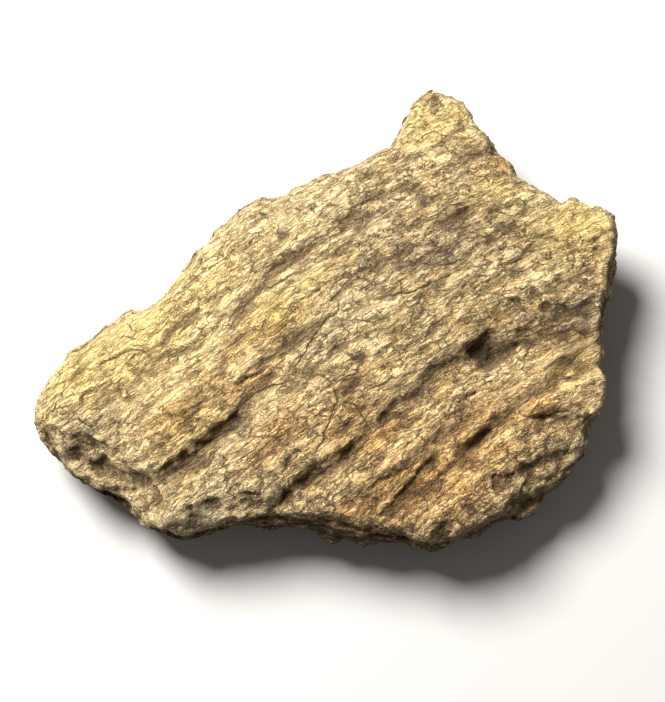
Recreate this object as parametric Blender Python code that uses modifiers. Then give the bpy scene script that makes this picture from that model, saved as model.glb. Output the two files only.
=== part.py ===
"""A palm-sized fragment of a horned dinosaur's frill: one slab of fossil bone, broken all round.

The slab lies on its underside on the plane z = 0. +X runs along its long side, from the blunt broken
end to the right-hand tip, +Y runs from the thick lower break to the peak, and +Z is up, out of the
face that carries the vessel grooves. The origin is the middle of the slab's plan, on that plane.

The solid starts as the plan outline extruded to a flat blank. The blank is cut into even small faces,
and every point of it is then moved: up or down onto the upper face and the underside, and in or out
along the broken wall. Lengths are millimetres until scaled by MM at the end.
"""

import math
from typing import NamedTuple

import bpy
import numpy as np
from mathutils import Matrix, Vector, noise

MM = 0.001
NODE_NAME = "frill_fragment"
COLLECTION_NAME = "fossil_frill_fragment"

# Overall form
CROWN_HEIGHT = 26.5  # the highest part of the upper face
BLANK_HEIGHT = 22.0  # the flat blank, before it is given its form
FACE_SIZE = 1.0  # spacing of the blank's points
TRIANGLES = 9200  # what the finished solid is reduced to
PLAN_SHIFT = (-0.9, -1.2)  # brings the middle of the plan to the origin

# Bone fibres
FIBRE_ANGLE = math.radians(37.0)  # which way they run, from +X
FIBRE_BEND = 0.0021  # how fast they flatten out towards the right-hand tip, per mm


class Edge(NamedTuple):
    """One stretch of the outline, clockwise: its corners, and the shape of the wall under them."""

    corners: tuple  # plan points
    rounding: float  # radius where the upper face turns over the edge
    belly: float  # how far the wall swells out below the edge
    lift: float  # how far the underside rises towards the edge


UPPER_LEFT_EDGE = Edge(
    corners=(
        (-59.3, -20.0),
        (-59.6, -17.6),
        (-58.4, -14.2),
        (-56.4, -11.4),
        (-54.8, -9.2),
        (-52.4, -6.4),
        (-50.4, -5.6),
        (-48.2, -3.6),
        (-45.2, -0.6),
        (-42.4, 0.3),
        (-40.2, 1.9),
        (-37.6, 2.2),
        (-35.0, 3.2),
        (-32.2, 5.8),
        (-30.3, 8.2),
        (-28.2, 11.6),
        (-25.8, 15.4),
        (-24.2, 16.6),
        (-22.6, 19.2),
        (-20.4, 21.0),
        (-17.2, 23.8),
        (-13.8, 26.1),
        (-9.0, 26.9),
        (-6.0, 28.9),
        (-3.4, 29.3),
        (-0.4, 31.0),
        (3.2, 31.8),
        (6.2, 33.3),
        (9.2, 34.8),
        (10.8, 36.0),
        (14.8, 38.0),
    ),
    rounding=4.2,
    belly=0.4,
    lift=9.0,
)
PEAK = Edge(
    corners=(
        (16.8, 43.0),
        (18.2, 47.2),
        (20.0, 51.4),
        (21.9, 54.0),
        (26.2, 50.6),
        (30.4, 47.4),
        (32.0, 43.0),
        (34.2, 40.4),
        (36.0, 37.2),
    ),
    rounding=3.5,
    belly=0.2,
    lift=9.0,
)
UPPER_RIGHT_EDGE = Edge(
    corners=(
        (37.2, 35.6),
        (39.4, 33.9),
        (40.6, 31.2),
        (43.0, 29.0),
        (44.9, 27.4),
        (46.9, 27.0),
        (49.6, 24.6),
        (52.5, 26.3),
        (55.5, 24.0),
        (57.4, 24.2),
        (60.4, 22.2),
    ),
    rounding=2.2,
    belly=0.3,
    lift=5.0,
)
RIGHT_EDGE = Edge(
    corners=(
        (60.9, 17.4),
        (60.5, 13.6),
        (59.6, 10.0),
        (59.4, 7.2),
        (58.2, 4.6),
        (58.0, 2.0),
        (57.0, -2.0),
        (57.8, -6.8),
        (57.2, -8.8),
        (58.4, -12.4),
        (58.2, -15.6),
        (57.0, -18.4),
        (55.2, -20.4),
        (54.2, -25.6),
    ),
    rounding=1.8,
    belly=0.3,
    lift=5.0,
)
LOWER_RIGHT_EDGE = Edge(
    corners=(
        (52.2, -28.4),
        (50.8, -30.9),
        (48.2, -33.2),
        (45.0, -35.2),
        (44.0, -37.8),
        (41.2, -39.2),
        (37.8, -39.2),
        (35.0, -40.6),
        (31.0, -43.2),
        (28.0, -43.8),
        (24.6, -45.4),
        (22.0, -45.8),
        (19.6, -45.2),
        (17.4, -43.6),
    ),
    rounding=1.6,
    belly=0.2,
    lift=6.0,
)
LOWER_EDGE = Edge(
    corners=(
        (14.0, -42.8),
        (10.4, -41.8),
        (8.2, -42.6),
        (5.4, -41.0),
        (0.0, -40.3),
        (-5.0, -39.8),
        (-9.6, -39.4),
        (-13.0, -40.0),
    ),
    rounding=1.2,
    belly=2.0,
    lift=2.5,
)
LOWER_LEFT_EDGE = Edge(
    corners=(
        (-16.0, -41.0),
        (-20.4, -41.6),
        (-24.6, -42.8),
        (-28.6, -43.8),
        (-32.0, -42.6),
        (-36.0, -41.8),
        (-37.8, -40.0),
    ),
    rounding=1.6,
    belly=0.2,
    lift=5.0,
)
LEFT_BREAK = Edge(
    corners=(
        (-39.6, -38.2),
        (-41.0, -36.6),
        (-44.2, -34.8),
        (-47.2, -33.6),
        (-49.2, -31.6),
        (-52.8, -29.6),
        (-54.6, -27.4),
        (-55.8, -26.0),
        (-57.0, -24.0),
        (-58.4, -22.0),
    ),
    rounding=1.6,
    belly=0.3,
    lift=6.0,
)
OUTLINE = (
    UPPER_LEFT_EDGE,
    PEAK,
    UPPER_RIGHT_EDGE,
    RIGHT_EDGE,
    LOWER_RIGHT_EDGE,
    LOWER_EDGE,
    LOWER_LEFT_EDGE,
    LEFT_BREAK,
)
EDGE_BLEND = 4.0  # how gradually one stretch's wall turns into the next
WALL_REACH = 5.0  # how far inside the outline the wall's shape is still felt
LIFT_REACH = 2.0  # how far inside the edge the underside's rise is felt, in lifts
BEDS = ((0.22, 1.1), (0.52, -0.9), (0.78, 0.7))  # (level, step outwards) of the layers in the broken wall


class Groove(NamedTuple):
    """A channel that a blood vessel left in the bone. Its upper-left wall is steep, and its floor
    runs out gently on the lower right."""

    course: tuple  # (x, y, depth) along its bottom, from lower left to upper right
    wall: float  # width of the steep wall
    runout: float  # width of the gentle side
    step: float  # how much lower the bone stays on the gentle side


GROOVES = (
    Groove(
        course=(
            (-38.5, -35.5, 1.0),
            (-34.6, -33.4, 1.8),
            (-29.1, -29.6, 2.2),
            (-24.8, -26.2, 2.2),
            (-20.3, -22.9, 2.0),
            (-16.9, -19.6, 1.6),
            (-14.4, -16.2, 1.3),
            (-10.4, -14.4, 1.0),
            (-5.4, -11.9, 0.6),
            (0.0, -11.6, 0.2),
        ),
        wall=2.7,
        runout=6.0,
        step=1.3,
    ),
    Groove(
        course=(
            (-11.4, -41.2, 2.0),
            (-8.0, -37.4, 2.5),
            (-2.6, -33.2, 2.6),
            (4.2, -28.6, 2.1),
            (9.4, -23.8, 1.6),
            (13.8, -20.4, 2.0),
            (19.6, -15.8, 1.4),
            (24.6, -11.0, 1.3),
            (29.0, -7.2, 1.8),
            (33.0, -6.4, 2.5),
            (40.0, -4.8, 1.1),
            (47.0, -3.2, 0.5),
            (55.0, -1.4, 0.6),
        ),
        wall=3.2,
        runout=6.0,
        step=1.2,
    ),
    Groove(
        course=(
            (15.0, -39.0, 0.5),
            (22.0, -33.6, 0.9),
            (27.2, -29.2, 1.1),
            (31.6, -25.0, 1.8),
            (36.4, -21.0, 1.2),
            (39.6, -17.8, 1.0),
            (45.2, -14.6, 0.7),
            (50.2, -10.2, 0.4),
            (54.5, -6.6, 0.3),
        ),
        wall=2.2,
        runout=5.0,
        step=0.8,
    ),
    Groove(
        course=(
            (-26.0, -9.0, 0.0),
            (-18.4, -1.0, 0.7),
            (-15.4, 2.2, 0.9),
            (-11.6, 7.6, 1.2),
            (-6.4, 11.9, 1.3),
            (-1.2, 14.4, 1.0),
            (4.4, 19.6, 0.7),
            (10.0, 21.6, 0.4),
            (18.0, 24.0, 0.0),
        ),
        wall=2.6,
        runout=5.0,
        step=0.0,
    ),
    Groove(
        course=(
            (33.4, -3.6, 1.4),
            (36.0, 0.4, 1.1),
            (41.0, 2.0, 1.0),
            (47.0, 2.8, 1.7),
            (52.0, 1.8, 1.5),
            (58.4, 3.0, 1.3),
        ),
        wall=2.6,
        runout=3.0,
        step=0.0,
    ),
    Groove(
        course=(
            (40.6, -20.6, 0.5),
            (45.0, -20.6, 1.2),
            (49.0, -20.0, 1.4),
            (55.0, -20.2, 1.4),
        ),
        wall=1.8,
        runout=4.0,
        step=1.1,
    ),
)


UNDERSIDE_GROOVES = (
    Groove(
        course=(
            (-21.0, -37.0, 1.0),
            (-9.0, -26.0, 1.6),
            (6.0, -14.0, 1.9),
            (20.0, -3.0, 1.7),
            (34.0, 6.0, 1.3),
            (53.0, 13.0, 0.7),
        ),
        wall=2.4,
        runout=5.0,
        step=0.7,
    ),
    Groove(
        course=(
            (-52.0, -12.0, 0.8),
            (-36.0, -4.0, 1.3),
            (-22.0, 7.0, 1.5),
            (-8.0, 17.0, 1.2),
            (5.0, 24.0, 0.5),
        ),
        wall=2.2,
        runout=4.0,
        step=0.4,
    ),
)

FEET = ((-33.0, -22.0), (33.0, -21.0), (15.0, 25.0), (-6.0, 3.0))  # where the underside rests, in plan
FOOT_SIZE = 9.0
WORN_FLAT = 0.2  # bone nearer than this to the plane z = 0 is worn off to it


class Hollow(NamedTuple):
    """A rounded hollow in the upper face."""

    place: tuple  # its middle, in plan
    along: float  # half its length, along the fibres
    across: float  # half its width
    depth: float


HOLLOWS = (
    Hollow((34.0, -7.4), 4.4, 3.3, 2.2),
    Hollow((-51.4, -27.2), 3.6, 1.7, 2.4),
    Hollow((16.2, -35.0), 5.5, 3.0, 0.9),
    Hollow((32.4, -24.4), 2.6, 1.2, 1.2),
    Hollow((28.6, 22.6), 2.2, 1.1, 1.2),
    Hollow((33.0, 34.8), 2.4, 1.5, 1.3),
    Hollow((5.8, -14.4), 3.2, 1.5, 0.9),
    Hollow((-44.4, -28.4), 4.0, 1.6, 1.7),
    Hollow((-38.0, -33.8), 3.6, 1.5, 1.2),
    Hollow((47.4, 2.6), 3.0, 1.6, 1.0),
    Hollow((8.0, 20.6), 4.0, 1.8, 0.6),
    Hollow((42.2, -37.6), 4.0, 1.8, 2.6),
    Hollow((24.6, -43.9), 3.8, 2.2, 2.8),
)


class Swelling(NamedTuple):
    """A long low swelling of the upper face between the grooves."""

    place: tuple  # its middle, in plan
    along: float  # half its length, along the fibres
    across: float  # half its width
    height: float


SWELLINGS = (
    Swelling((-38.0, -20.0), 12.0, 5.5, 1.1),
    Swelling((-22.0, -13.5), 9.0, 4.0, 0.8),
    Swelling((-18.5, -31.0), 10.0, 4.5, 1.0),
    Swelling((-2.0, -20.5), 8.0, 4.2, 1.5),
    Swelling((10.0, -12.0), 8.0, 4.0, 1.0),
    Swelling((-7.0, 0.5), 8.5, 4.0, 0.9),
    Swelling((20.0, -25.0), 8.0, 3.6, 1.0),
    Swelling((44.0, -11.0), 7.0, 3.0, 0.8),
    Swelling((-18.0, 11.0), 10.0, 4.5, 0.9),
    Swelling((24.0, 39.5), 6.0, 5.0, 1.3),
    Swelling((54.5, 18.0), 5.0, 4.0, 1.2),
)


RIMS = (
    Swelling((-51.0, -31.4), 1.6, 3.4, 1.9),
    Swelling((-44.6, -36.8), 1.8, 3.8, 1.7),
    Swelling((-36.0, -41.6), 3.0, 2.0, 1.2),
)  # what still stands up along the outer edge of the broken left end


class Fracture(NamedTuple):
    """A rough plane that broke off the upper face's edge, falling away from its crest line."""

    crest: tuple  # a point of the crest line, in plan
    height: float  # the height of the plane there
    facing: float  # which way it falls, in degrees from +X
    fall: float  # how steeply, in degrees
    half_length: float  # half the length of the crest line


FRACTURES = (
    Fracture(crest=(-44.6, -27.4), height=21.6, facing=-118.0, fall=47.0, half_length=13.0),
    Fracture(crest=(-39.0, -41.0), height=20.2, facing=-152.0, fall=40.0, half_length=5.0),
    Fracture(crest=(49.5, -26.5), height=18.4, facing=-52.0, fall=24.0, half_length=15.0),
    Fracture(crest=(-22.0, -40.6), height=19.4, facing=-82.0, fall=45.0, half_length=10.0),
    Fracture(crest=(37.6, 32.8), height=21.5, facing=42.0, fall=42.0, half_length=3.2),
    Fracture(crest=(24.0, 43.0), height=23.6, facing=62.0, fall=14.0, half_length=9.0),
)


class Chip(NamedTuple):
    """A flat break that took a piece off the wall's lower part."""

    point: tuple  # a point on the break
    facing: float  # which way it faces in plan, in degrees from +X
    tilt: float  # how far it faces down, in degrees


CHIPS = (
    Chip(point=(-20.0, 20.0, 7.0), facing=128.0, tilt=38.0),
    Chip(point=(-48.0, -6.0, 8.0), facing=140.0, tilt=30.0),
    Chip(point=(4.0, 31.0, 8.0), facing=104.0, tilt=46.0),
    Chip(point=(24.0, 49.5, 6.0), facing=80.0, tilt=40.0),
    Chip(point=(40.0, 30.0, 5.0), facing=52.0, tilt=28.0),
    Chip(point=(58.0, 12.0, 7.0), facing=6.0, tilt=34.0),
    Chip(point=(56.0, -16.0, 8.0), facing=-22.0, tilt=24.0),
    Chip(point=(44.0, -37.0, 6.0), facing=-50.0, tilt=36.0),
    Chip(point=(22.0, -44.5, 7.0), facing=-88.0, tilt=30.0),
    Chip(point=(-28.0, -42.5, 7.0), facing=-96.0, tilt=34.0),
    Chip(point=(-50.0, -30.0, 8.0), facing=-128.0, tilt=32.0),
    Chip(point=(-58.0, -22.0, 9.0), facing=176.0, tilt=30.0),
)


def lerp(a, b, share):
    return a + (b - a) * share


def smooth_step(low, high, value):
    share = np.clip((value - low) / (high - low), 0.0, 1.0)
    return share * share * (3.0 - 2.0 * share)


def rough(points, size, octaves=3):
    """Fractal noise about 0, one value for each point, with lumps about size across."""
    scaled = np.asarray(points) / size
    return np.array([noise.fractal(Vector(p), 1.0, 2.0, octaves) for p in scaled])


def outline_corners():
    """The outline's corners, and for each corner its edge's rounding, belly and lift and its way out."""
    corners, sizes = [], []
    for edge in OUTLINE:
        corners.extend(edge.corners)
        sizes.extend([edge[1:]] * len(edge.corners))
    corners = np.array(corners)
    past = np.roll(corners, -1, axis=0) - np.roll(corners, 1, axis=0)
    return corners, np.column_stack([sizes, -past[:, 1], past[:, 0]])


def near_polyline(plan, line, is_closed=False):
    """Each plan point's distance to the line, the nearest point on it, the number of the segment
    that holds it, the share of the way along that segment, and the side: 1 on its left."""
    starts = line if is_closed else line[:-1]
    ends = np.roll(line, -1, axis=0) if is_closed else line[1:]
    best = np.full(len(plan), np.inf)
    foot = np.zeros_like(plan)
    segment = np.zeros(len(plan), int)
    share = np.zeros(len(plan))
    side = np.ones(len(plan))
    for i, (a, b) in enumerate(zip(starts, ends)):
        way = b - a
        along = np.clip((plan - a) @ way / (way @ way), 0.0, 1.0)
        near = a + along[:, None] * way
        gap = np.hypot(*(plan - near).T)
        closer = gap < best
        best = np.where(closer, gap, best)
        foot[closer] = near[closer]
        segment[closer] = i
        share = np.where(closer, along, share)
        turn = way[0] * (plan[:, 1] - a[1]) - way[1] * (plan[:, 0] - a[0])
        side = np.where(closer, np.where(turn >= 0.0, 1.0, -1.0), side)
    return best, foot, segment, share, side


def wall_sizes(foot, corners, sizes):
    """The corners' sizes at each point of the outline, blended from corner to corner."""
    blended = np.zeros((len(foot), sizes.shape[1]))
    total = np.zeros(len(foot))
    for corner, size in zip(corners, sizes):
        weight = np.exp(-((foot - corner) ** 2).sum(axis=1) / EDGE_BLEND**2) + 1e-12
        blended += weight[:, None] * size
        total += weight
    return (blended / total[:, None]).T


def fibre_frame(plan):
    """How far each plan point lies along the fibres, and across them towards the upper left."""
    x, y = plan.T
    along = x * math.cos(FIBRE_ANGLE) + y * math.sin(FIBRE_ANGLE)
    across = y * math.cos(FIBRE_ANGLE) - x * math.sin(FIBRE_ANGLE)
    return along, across + FIBRE_BEND * np.maximum(along, 0.0) ** 2


def crown(plan):
    """The smooth swell of the upper face, highest along its middle."""
    along, across = fibre_frame(plan)
    uphill = np.maximum(across - 2.0, 0.0)
    downhill = np.maximum(2.0 - across, 0.0)
    height = CROWN_HEIGHT - 0.0052 * uphill**2 - 0.040 * downhill - 0.0009 * downhill**2
    return height - 0.0011 * (along - 4.0) ** 2


def groove_relief(plan, groove):
    course = np.array(groove.course)
    gap, _, segment, share, side = near_polyline(plan, course[:, :2])
    depth = lerp(course[segment, 2], course[segment + 1, 2], share)
    steep = 1.0 - smooth_step(0.0, groove.wall, gap)
    shoulder = 1.0 - smooth_step(0.0, 3.5 * groove.wall, gap)
    gentle = 1.0 - smooth_step(0.0, groove.runout, gap)
    channel = np.where(side > 0.0, 0.62 * steep + 0.38 * shoulder, gentle)
    signed = np.where(side > 0.0, gap, -gap)
    step = groove.step * (1.0 - smooth_step(-0.6, groove.wall, signed))
    share_of_depth = depth / course[:, 2].max()
    return depth * channel + share_of_depth * step * np.exp(-((gap / 16.0) ** 2))


def mound(plan, form):
    """1 at the middle of a hollow or a swelling, fading to 0 around it."""
    along, across = fibre_frame(plan)
    middle_along, middle_across = fibre_frame(np.array([form.place]))
    reach = ((along - middle_along) / form.along) ** 2 + ((across - middle_across) / form.across) ** 2
    return np.exp(-reach)


def fracture_plane(plan, fracture):
    """The height of a fracture's plane, far above the face where the fracture doesn't reach."""
    facing = math.radians(fracture.facing)
    outwards = np.array([math.cos(facing), math.sin(facing)])
    sideways = np.array([-outwards[1], outwards[0]])
    offset = plan - np.array(fracture.crest)
    beyond = offset @ outwards
    past_end = np.maximum(np.abs(offset @ sideways) - fracture.half_length, 0.0)
    return fracture.height - math.tan(math.radians(fracture.fall)) * beyond + 1.1 * past_end


def lumps(plan, size):
    """The height, about 0, of rounded lumps drawn out along the fibres, each a little up or down from
    its neighbours."""
    along, across = fibre_frame(plan)
    cells = np.column_stack([along / 1.9, across, np.zeros(len(plan))]) / size
    heights = []
    for place in cells:
        distances, middles = noise.voronoi(Vector(place))
        heights.append(0.45 - distances[0] + 0.5 * noise.noise(middles[0] * 1.7))
    return np.array(heights)


def bent_plan(plan):
    """The plan points pushed about a little, so that a shape laid on them has no smooth rim."""
    flat = np.column_stack([plan, np.zeros(len(plan))])
    return plan + 1.3 * np.column_stack([rough(flat + 60.0, 9.0), rough(flat - 60.0, 9.0)])


def whole_face(plan):
    """The height of the upper face over each plan point, before anything broke off its edges."""
    along, across = fibre_frame(plan)
    fibrous = np.column_stack([along / 3.2, across, np.zeros(len(plan))])
    flat = np.column_stack([plan, np.zeros(len(plan))])
    bent = bent_plan(plan)
    height = crown(plan)
    height += 1.1 * rough(flat + 40.0, 19.0) + 0.8 * rough(fibrous, 4.2)
    height += 1.1 * lumps(bent, 6.5) + 0.45 * lumps(bent + 50.0, 3.6)
    for groove in GROOVES:
        height -= groove_relief(bent, groove)
    for swelling in SWELLINGS:
        height += swelling.height * mound(bent, swelling)
    return height


def break_height(plan):
    """The height of the lowest fracture over each plan point, far up where there is none."""
    flat = np.column_stack([plan, np.zeros(len(plan))])
    planes = [fracture_plane(plan, fracture) for fracture in FRACTURES]
    return np.min(planes, axis=0) + 1.4 * rough(flat + 90.0, 6.0, 4)


def upper_face(plan, inside, rounding):
    """The height of the upper face over each plan point."""
    height = np.minimum(whole_face(plan), break_height(plan))
    bent = bent_plan(plan)
    for rim in RIMS:
        height += rim.height * mound(bent, rim)
    for hollow in HOLLOWS:
        height -= hollow.depth * mound(bent, hollow)
    turned = np.clip(1.0 - inside / rounding, 0.0, 1.0)
    return height - rounding * (1.0 - np.sqrt(1.0 - turned**2 + 1e-9))


def underside(plan, inside, lift):
    """The height of the underside, worn flat on the plane z = 0 at its feet."""
    along, across = fibre_frame(plan)
    flat = np.column_stack([plan, np.full(len(plan), 7.0)])
    fibrous = np.column_stack([along / 3.0, across, np.full(len(plan), 30.0)])
    height = 1.5 + 1.5 * rough(flat, 24.0) + 0.9 * rough(fibrous, 5.0)
    height -= 1.5 * lumps(plan + 200.0, 7.5)
    for groove in UNDERSIDE_GROOVES:
        height += groove_relief(plan, groove)
    for foot in FEET:
        height -= 4.0 * np.exp(-((plan - foot) ** 2).sum(axis=1) / FOOT_SIZE**2)
    rise = np.clip(1.0 - inside / (LIFT_REACH * lift), 0.0, 1.0)
    return np.maximum(height + lift * rise**2, 0.0)


def wall_relief(foot, level):
    """How far the broken wall stands out at each point of it: lumps, facets and the bone's layers."""
    place = np.column_stack([foot, level * BLANK_HEIGHT])
    relief = 1.5 * rough(place, 13.0) + 1.0 * rough(place + 30.0, 5.0)
    for bed, step in BEDS:
        edge = bed + 0.09 * rough(place + 70.0, 18.0)
        relief += step * smooth_step(-0.05, 0.05, level - edge) - 0.5 * step
    return relief


def chipped(points, chip):
    """The points, with those beyond a break brought back to its hackly plane."""
    facing, tilt = math.radians(chip.facing), math.radians(chip.tilt)
    normal = np.array([math.cos(facing) * math.cos(tilt), math.sin(facing) * math.cos(tilt), -math.sin(tilt)])
    beyond = np.maximum((points - np.array(chip.point)) @ normal + 1.3 * rough(points + 110.0, 7.0, 4), 0.0)
    return points - 0.92 * beyond[:, None] * normal


def formed(blank):
    """The blank's points, moved onto the fragment's faces and walls."""
    plan, level = blank[:, :2], blank[:, 2] / BLANK_HEIGHT
    corners, sizes = outline_corners()
    inside, foot, _, _, _ = near_polyline(plan, corners, is_closed=True)
    rounding, belly, lift, out_x, out_y = wall_sizes(foot, corners, sizes)
    outwards = np.column_stack([out_x, out_y]) / np.hypot(out_x, out_y)[:, None]
    felt = np.clip(1.0 - inside / WALL_REACH, 0.0, 1.0) ** 2
    stand_out = np.minimum(wall_relief(foot, level), 0.5 + belly)
    swell = belly * np.sin(math.pi * np.clip(level, 0.0, 1.0)) + stand_out * (1.0 - level**3)
    bottom = underside(plan, inside, lift)
    top = np.maximum(upper_face(plan, inside, rounding), bottom + 2.0)
    height = lerp(bottom, top, level)
    points = np.column_stack([plan + outwards * (felt * swell)[:, None], height])
    for chip in CHIPS:
        points = chipped(points, chip)
    points[:, 2] = np.where(level < 0.5, np.maximum(points[:, 2], 0.0), points[:, 2])
    return points + (*PLAN_SHIFT, 0.0)


def evaluated_mesh(obj):
    bpy.context.view_layer.update()
    return bpy.data.meshes.new_from_object(obj.evaluated_get(bpy.context.evaluated_depsgraph_get()))


def flat_blank(collection):
    """The outline extruded to a flat slab on z = 0, as an object whose mesh has even faces."""
    corners, _ = outline_corners()
    curve = bpy.data.curves.new("blank_outline", "CURVE")
    curve.dimensions = "2D"
    curve.fill_mode = "BOTH"
    curve.extrude = BLANK_HEIGHT / 2.0
    spline = curve.splines.new("POLY")
    spline.points.add(len(corners) - 1)
    for point, (x, y) in zip(spline.points, corners):
        point.co = (x, y, 0.0, 1.0)
    spline.use_cyclic_u = True
    outline = bpy.data.objects.new("blank_outline", curve)
    collection.objects.link(outline)
    slab = bpy.data.objects.new(NODE_NAME, evaluated_mesh(outline))
    bpy.data.objects.remove(outline)
    collection.objects.link(slab)
    slab.data.transform(Matrix.Translation((0.0, 0.0, BLANK_HEIGHT / 2.0)))
    return slab


def with_modifier(obj, name, kind, **settings):
    """The object, with its mesh as this modifier leaves it."""
    modifier = obj.modifiers.new(name, kind)
    for setting, value in settings.items():
        setattr(modifier, setting, value)
    mesh = evaluated_mesh(obj)
    obj.modifiers.clear()
    obj.data = mesh
    return obj


def points_of(mesh):
    points = np.empty(len(mesh.vertices) * 3, np.float32)
    mesh.vertices.foreach_get("co", points)
    return points.reshape(-1, 3).astype(float)


def move_points(mesh, points):
    mesh.vertices.foreach_set("co", points.astype(np.float32).ravel())
    mesh.update()


def fossil_bone():
    material = bpy.data.materials.new("fossil_bone")
    material.use_nodes = True
    shader = material.node_tree.nodes["Principled BSDF"]
    shader.inputs["Base Color"].default_value = (0.50, 0.37, 0.18, 1.0)
    shader.inputs["Roughness"].default_value = 0.85
    shader.inputs["Metallic"].default_value = 0.0
    return material


def frill_fragment(collection):
    slab = flat_blank(collection)
    with_modifier(slab, "Even faces", "REMESH", mode="VOXEL", voxel_size=FACE_SIZE)
    move_points(slab.data, formed(points_of(slab.data)))
    ratio = TRIANGLES / (2.0 * len(slab.data.polygons))
    with_modifier(slab, "Fewer faces", "DECIMATE", ratio=ratio, use_collapse_triangulate=True)
    points = points_of(slab.data)
    points[:, 2] = np.where(points[:, 2] < WORN_FLAT, 0.0, points[:, 2])
    move_points(slab.data, points * MM)
    slab.data.materials.clear()
    slab.data.materials.append(fossil_bone())
    return slab


def main():
    for old in list(bpy.data.objects):
        bpy.data.objects.remove(old)
    collection = bpy.data.collections.new(COLLECTION_NAME)
    bpy.context.scene.collection.children.link(collection)
    frill_fragment(collection)


main()
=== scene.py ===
"""Fossil frill fragment: the weathered surface, colour and studio of one slab of horned dinosaur frill.

The slab's solid is cut here again into fine faces, from the same named forms that the solid has. The
fibres, cracks, flakes and pits of the bone are then added to it, and a procedural finish colours them.
Forms are in millimetres until the mesh is scaled by MM, and everything in the scene is in metres.
"""

import math
from typing import NamedTuple

import bpy
import numpy as np
from bpy.props import FloatProperty, FloatVectorProperty, PointerProperty
from bpy.types import Operator, Panel, PropertyGroup
from mathutils import Matrix, Vector, noise


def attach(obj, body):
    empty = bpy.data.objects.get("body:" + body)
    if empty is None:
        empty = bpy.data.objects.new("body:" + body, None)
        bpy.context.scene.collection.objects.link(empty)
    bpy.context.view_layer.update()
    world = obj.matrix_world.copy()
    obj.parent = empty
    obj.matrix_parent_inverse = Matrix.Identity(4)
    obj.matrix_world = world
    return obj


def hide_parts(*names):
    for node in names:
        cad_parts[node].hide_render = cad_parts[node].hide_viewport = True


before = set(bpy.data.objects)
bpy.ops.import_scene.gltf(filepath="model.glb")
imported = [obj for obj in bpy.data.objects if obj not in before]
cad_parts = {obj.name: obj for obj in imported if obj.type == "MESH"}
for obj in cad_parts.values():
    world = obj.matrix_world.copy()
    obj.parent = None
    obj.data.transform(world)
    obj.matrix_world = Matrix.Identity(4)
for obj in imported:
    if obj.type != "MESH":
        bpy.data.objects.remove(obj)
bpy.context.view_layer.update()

bl_info = {
    "name": "Fossil frill fragment",
    "version": (1, 0, 0),
    "blender": (4, 5, 0),
    "location": "3D View > Sidebar > Fossil",
    "description": "Builds a weathered slab of fossil frill bone and a plain studio for it",
    "category": "Add Mesh",
}

NODE = "frill_fragment"
SLOT = "fossil_bone"
MM = 0.001
NOISE_SEED = 7  # without one, noise_vector is drawn from the clock

# Overall form
CROWN_HEIGHT = 26.5  # the highest part of the upper face
BLANK_HEIGHT = 22.0  # the flat blank, before it is given its form
PLAN_SHIFT = (-0.9, -1.2)  # brings the middle of the plan to the origin

# Bone fibres
FIBRE_ANGLE = math.radians(37.0)  # which way they run, from +X
FIBRE_BEND = 0.0021  # how fast they flatten out towards the right-hand tip, per mm


class Edge(NamedTuple):
    """One stretch of the outline, clockwise: its corners, and the shape of the wall under them."""

    corners: tuple  # plan points
    rounding: float  # radius where the upper face turns over the edge
    belly: float  # how far the wall swells out below the edge
    lift: float  # how far the underside rises towards the edge


UPPER_LEFT_EDGE = Edge(
    corners=(
        (-59.3, -20.0), (-59.6, -17.6), (-58.4, -14.2), (-56.4, -11.4), (-54.8, -9.2), (-52.4, -6.4),
        (-50.4, -5.6), (-48.2, -3.6), (-45.2, -0.6), (-42.4, 0.3), (-40.2, 1.9), (-37.6, 2.2), (-35.0, 3.2),
        (-32.2, 5.8), (-30.3, 8.2), (-28.2, 11.6), (-25.8, 15.4), (-24.2, 16.6), (-22.6, 19.2),
        (-20.4, 21.0), (-17.2, 23.8), (-13.8, 26.1), (-9.0, 26.9), (-6.0, 28.9), (-3.4, 29.3), (-0.4, 31.0),
        (3.2, 31.8), (6.2, 33.3), (9.2, 34.8), (10.8, 36.0), (14.8, 38.0),
    ),
    rounding=4.2, belly=0.4, lift=9.0,
)
PEAK = Edge(
    corners=(
        (16.8, 43.0), (18.2, 47.2), (20.0, 51.4), (21.9, 54.0), (26.2, 50.6), (30.4, 47.4), (32.0, 43.0),
        (34.2, 40.4), (36.0, 37.2),
    ),
    rounding=3.5, belly=0.2, lift=9.0,
)
UPPER_RIGHT_EDGE = Edge(
    corners=(
        (37.2, 35.6), (39.4, 33.9), (40.6, 31.2), (43.0, 29.0), (44.9, 27.4), (46.9, 27.0), (49.6, 24.6),
        (52.5, 26.3), (55.5, 24.0), (57.4, 24.2), (60.4, 22.2),
    ),
    rounding=2.2, belly=0.3, lift=5.0,
)
RIGHT_EDGE = Edge(
    corners=(
        (60.9, 17.4), (60.5, 13.6), (59.6, 10.0), (59.4, 7.2), (58.2, 4.6), (58.0, 2.0), (57.0, -2.0),
        (57.8, -6.8), (57.2, -8.8), (58.4, -12.4), (58.2, -15.6), (57.0, -18.4), (55.2, -20.4),
        (54.2, -25.6),
    ),
    rounding=1.8, belly=0.3, lift=5.0,
)
LOWER_RIGHT_EDGE = Edge(
    corners=(
        (52.2, -28.4), (50.8, -30.9), (48.2, -33.2), (45.0, -35.2), (44.0, -37.8), (41.2, -39.2),
        (37.8, -39.2), (35.0, -40.6), (31.0, -43.2), (28.0, -43.8), (24.6, -45.4), (22.0, -45.8),
        (19.6, -45.2), (17.4, -43.6),
    ),
    rounding=1.6, belly=0.2, lift=6.0,
)
LOWER_EDGE = Edge(
    corners=(
        (14.0, -42.8), (10.4, -41.8), (8.2, -42.6), (5.4, -41.0), (0.0, -40.3), (-5.0, -39.8),
        (-9.6, -39.4), (-13.0, -40.0),
    ),
    rounding=1.2, belly=2.0, lift=2.5,
)
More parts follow.
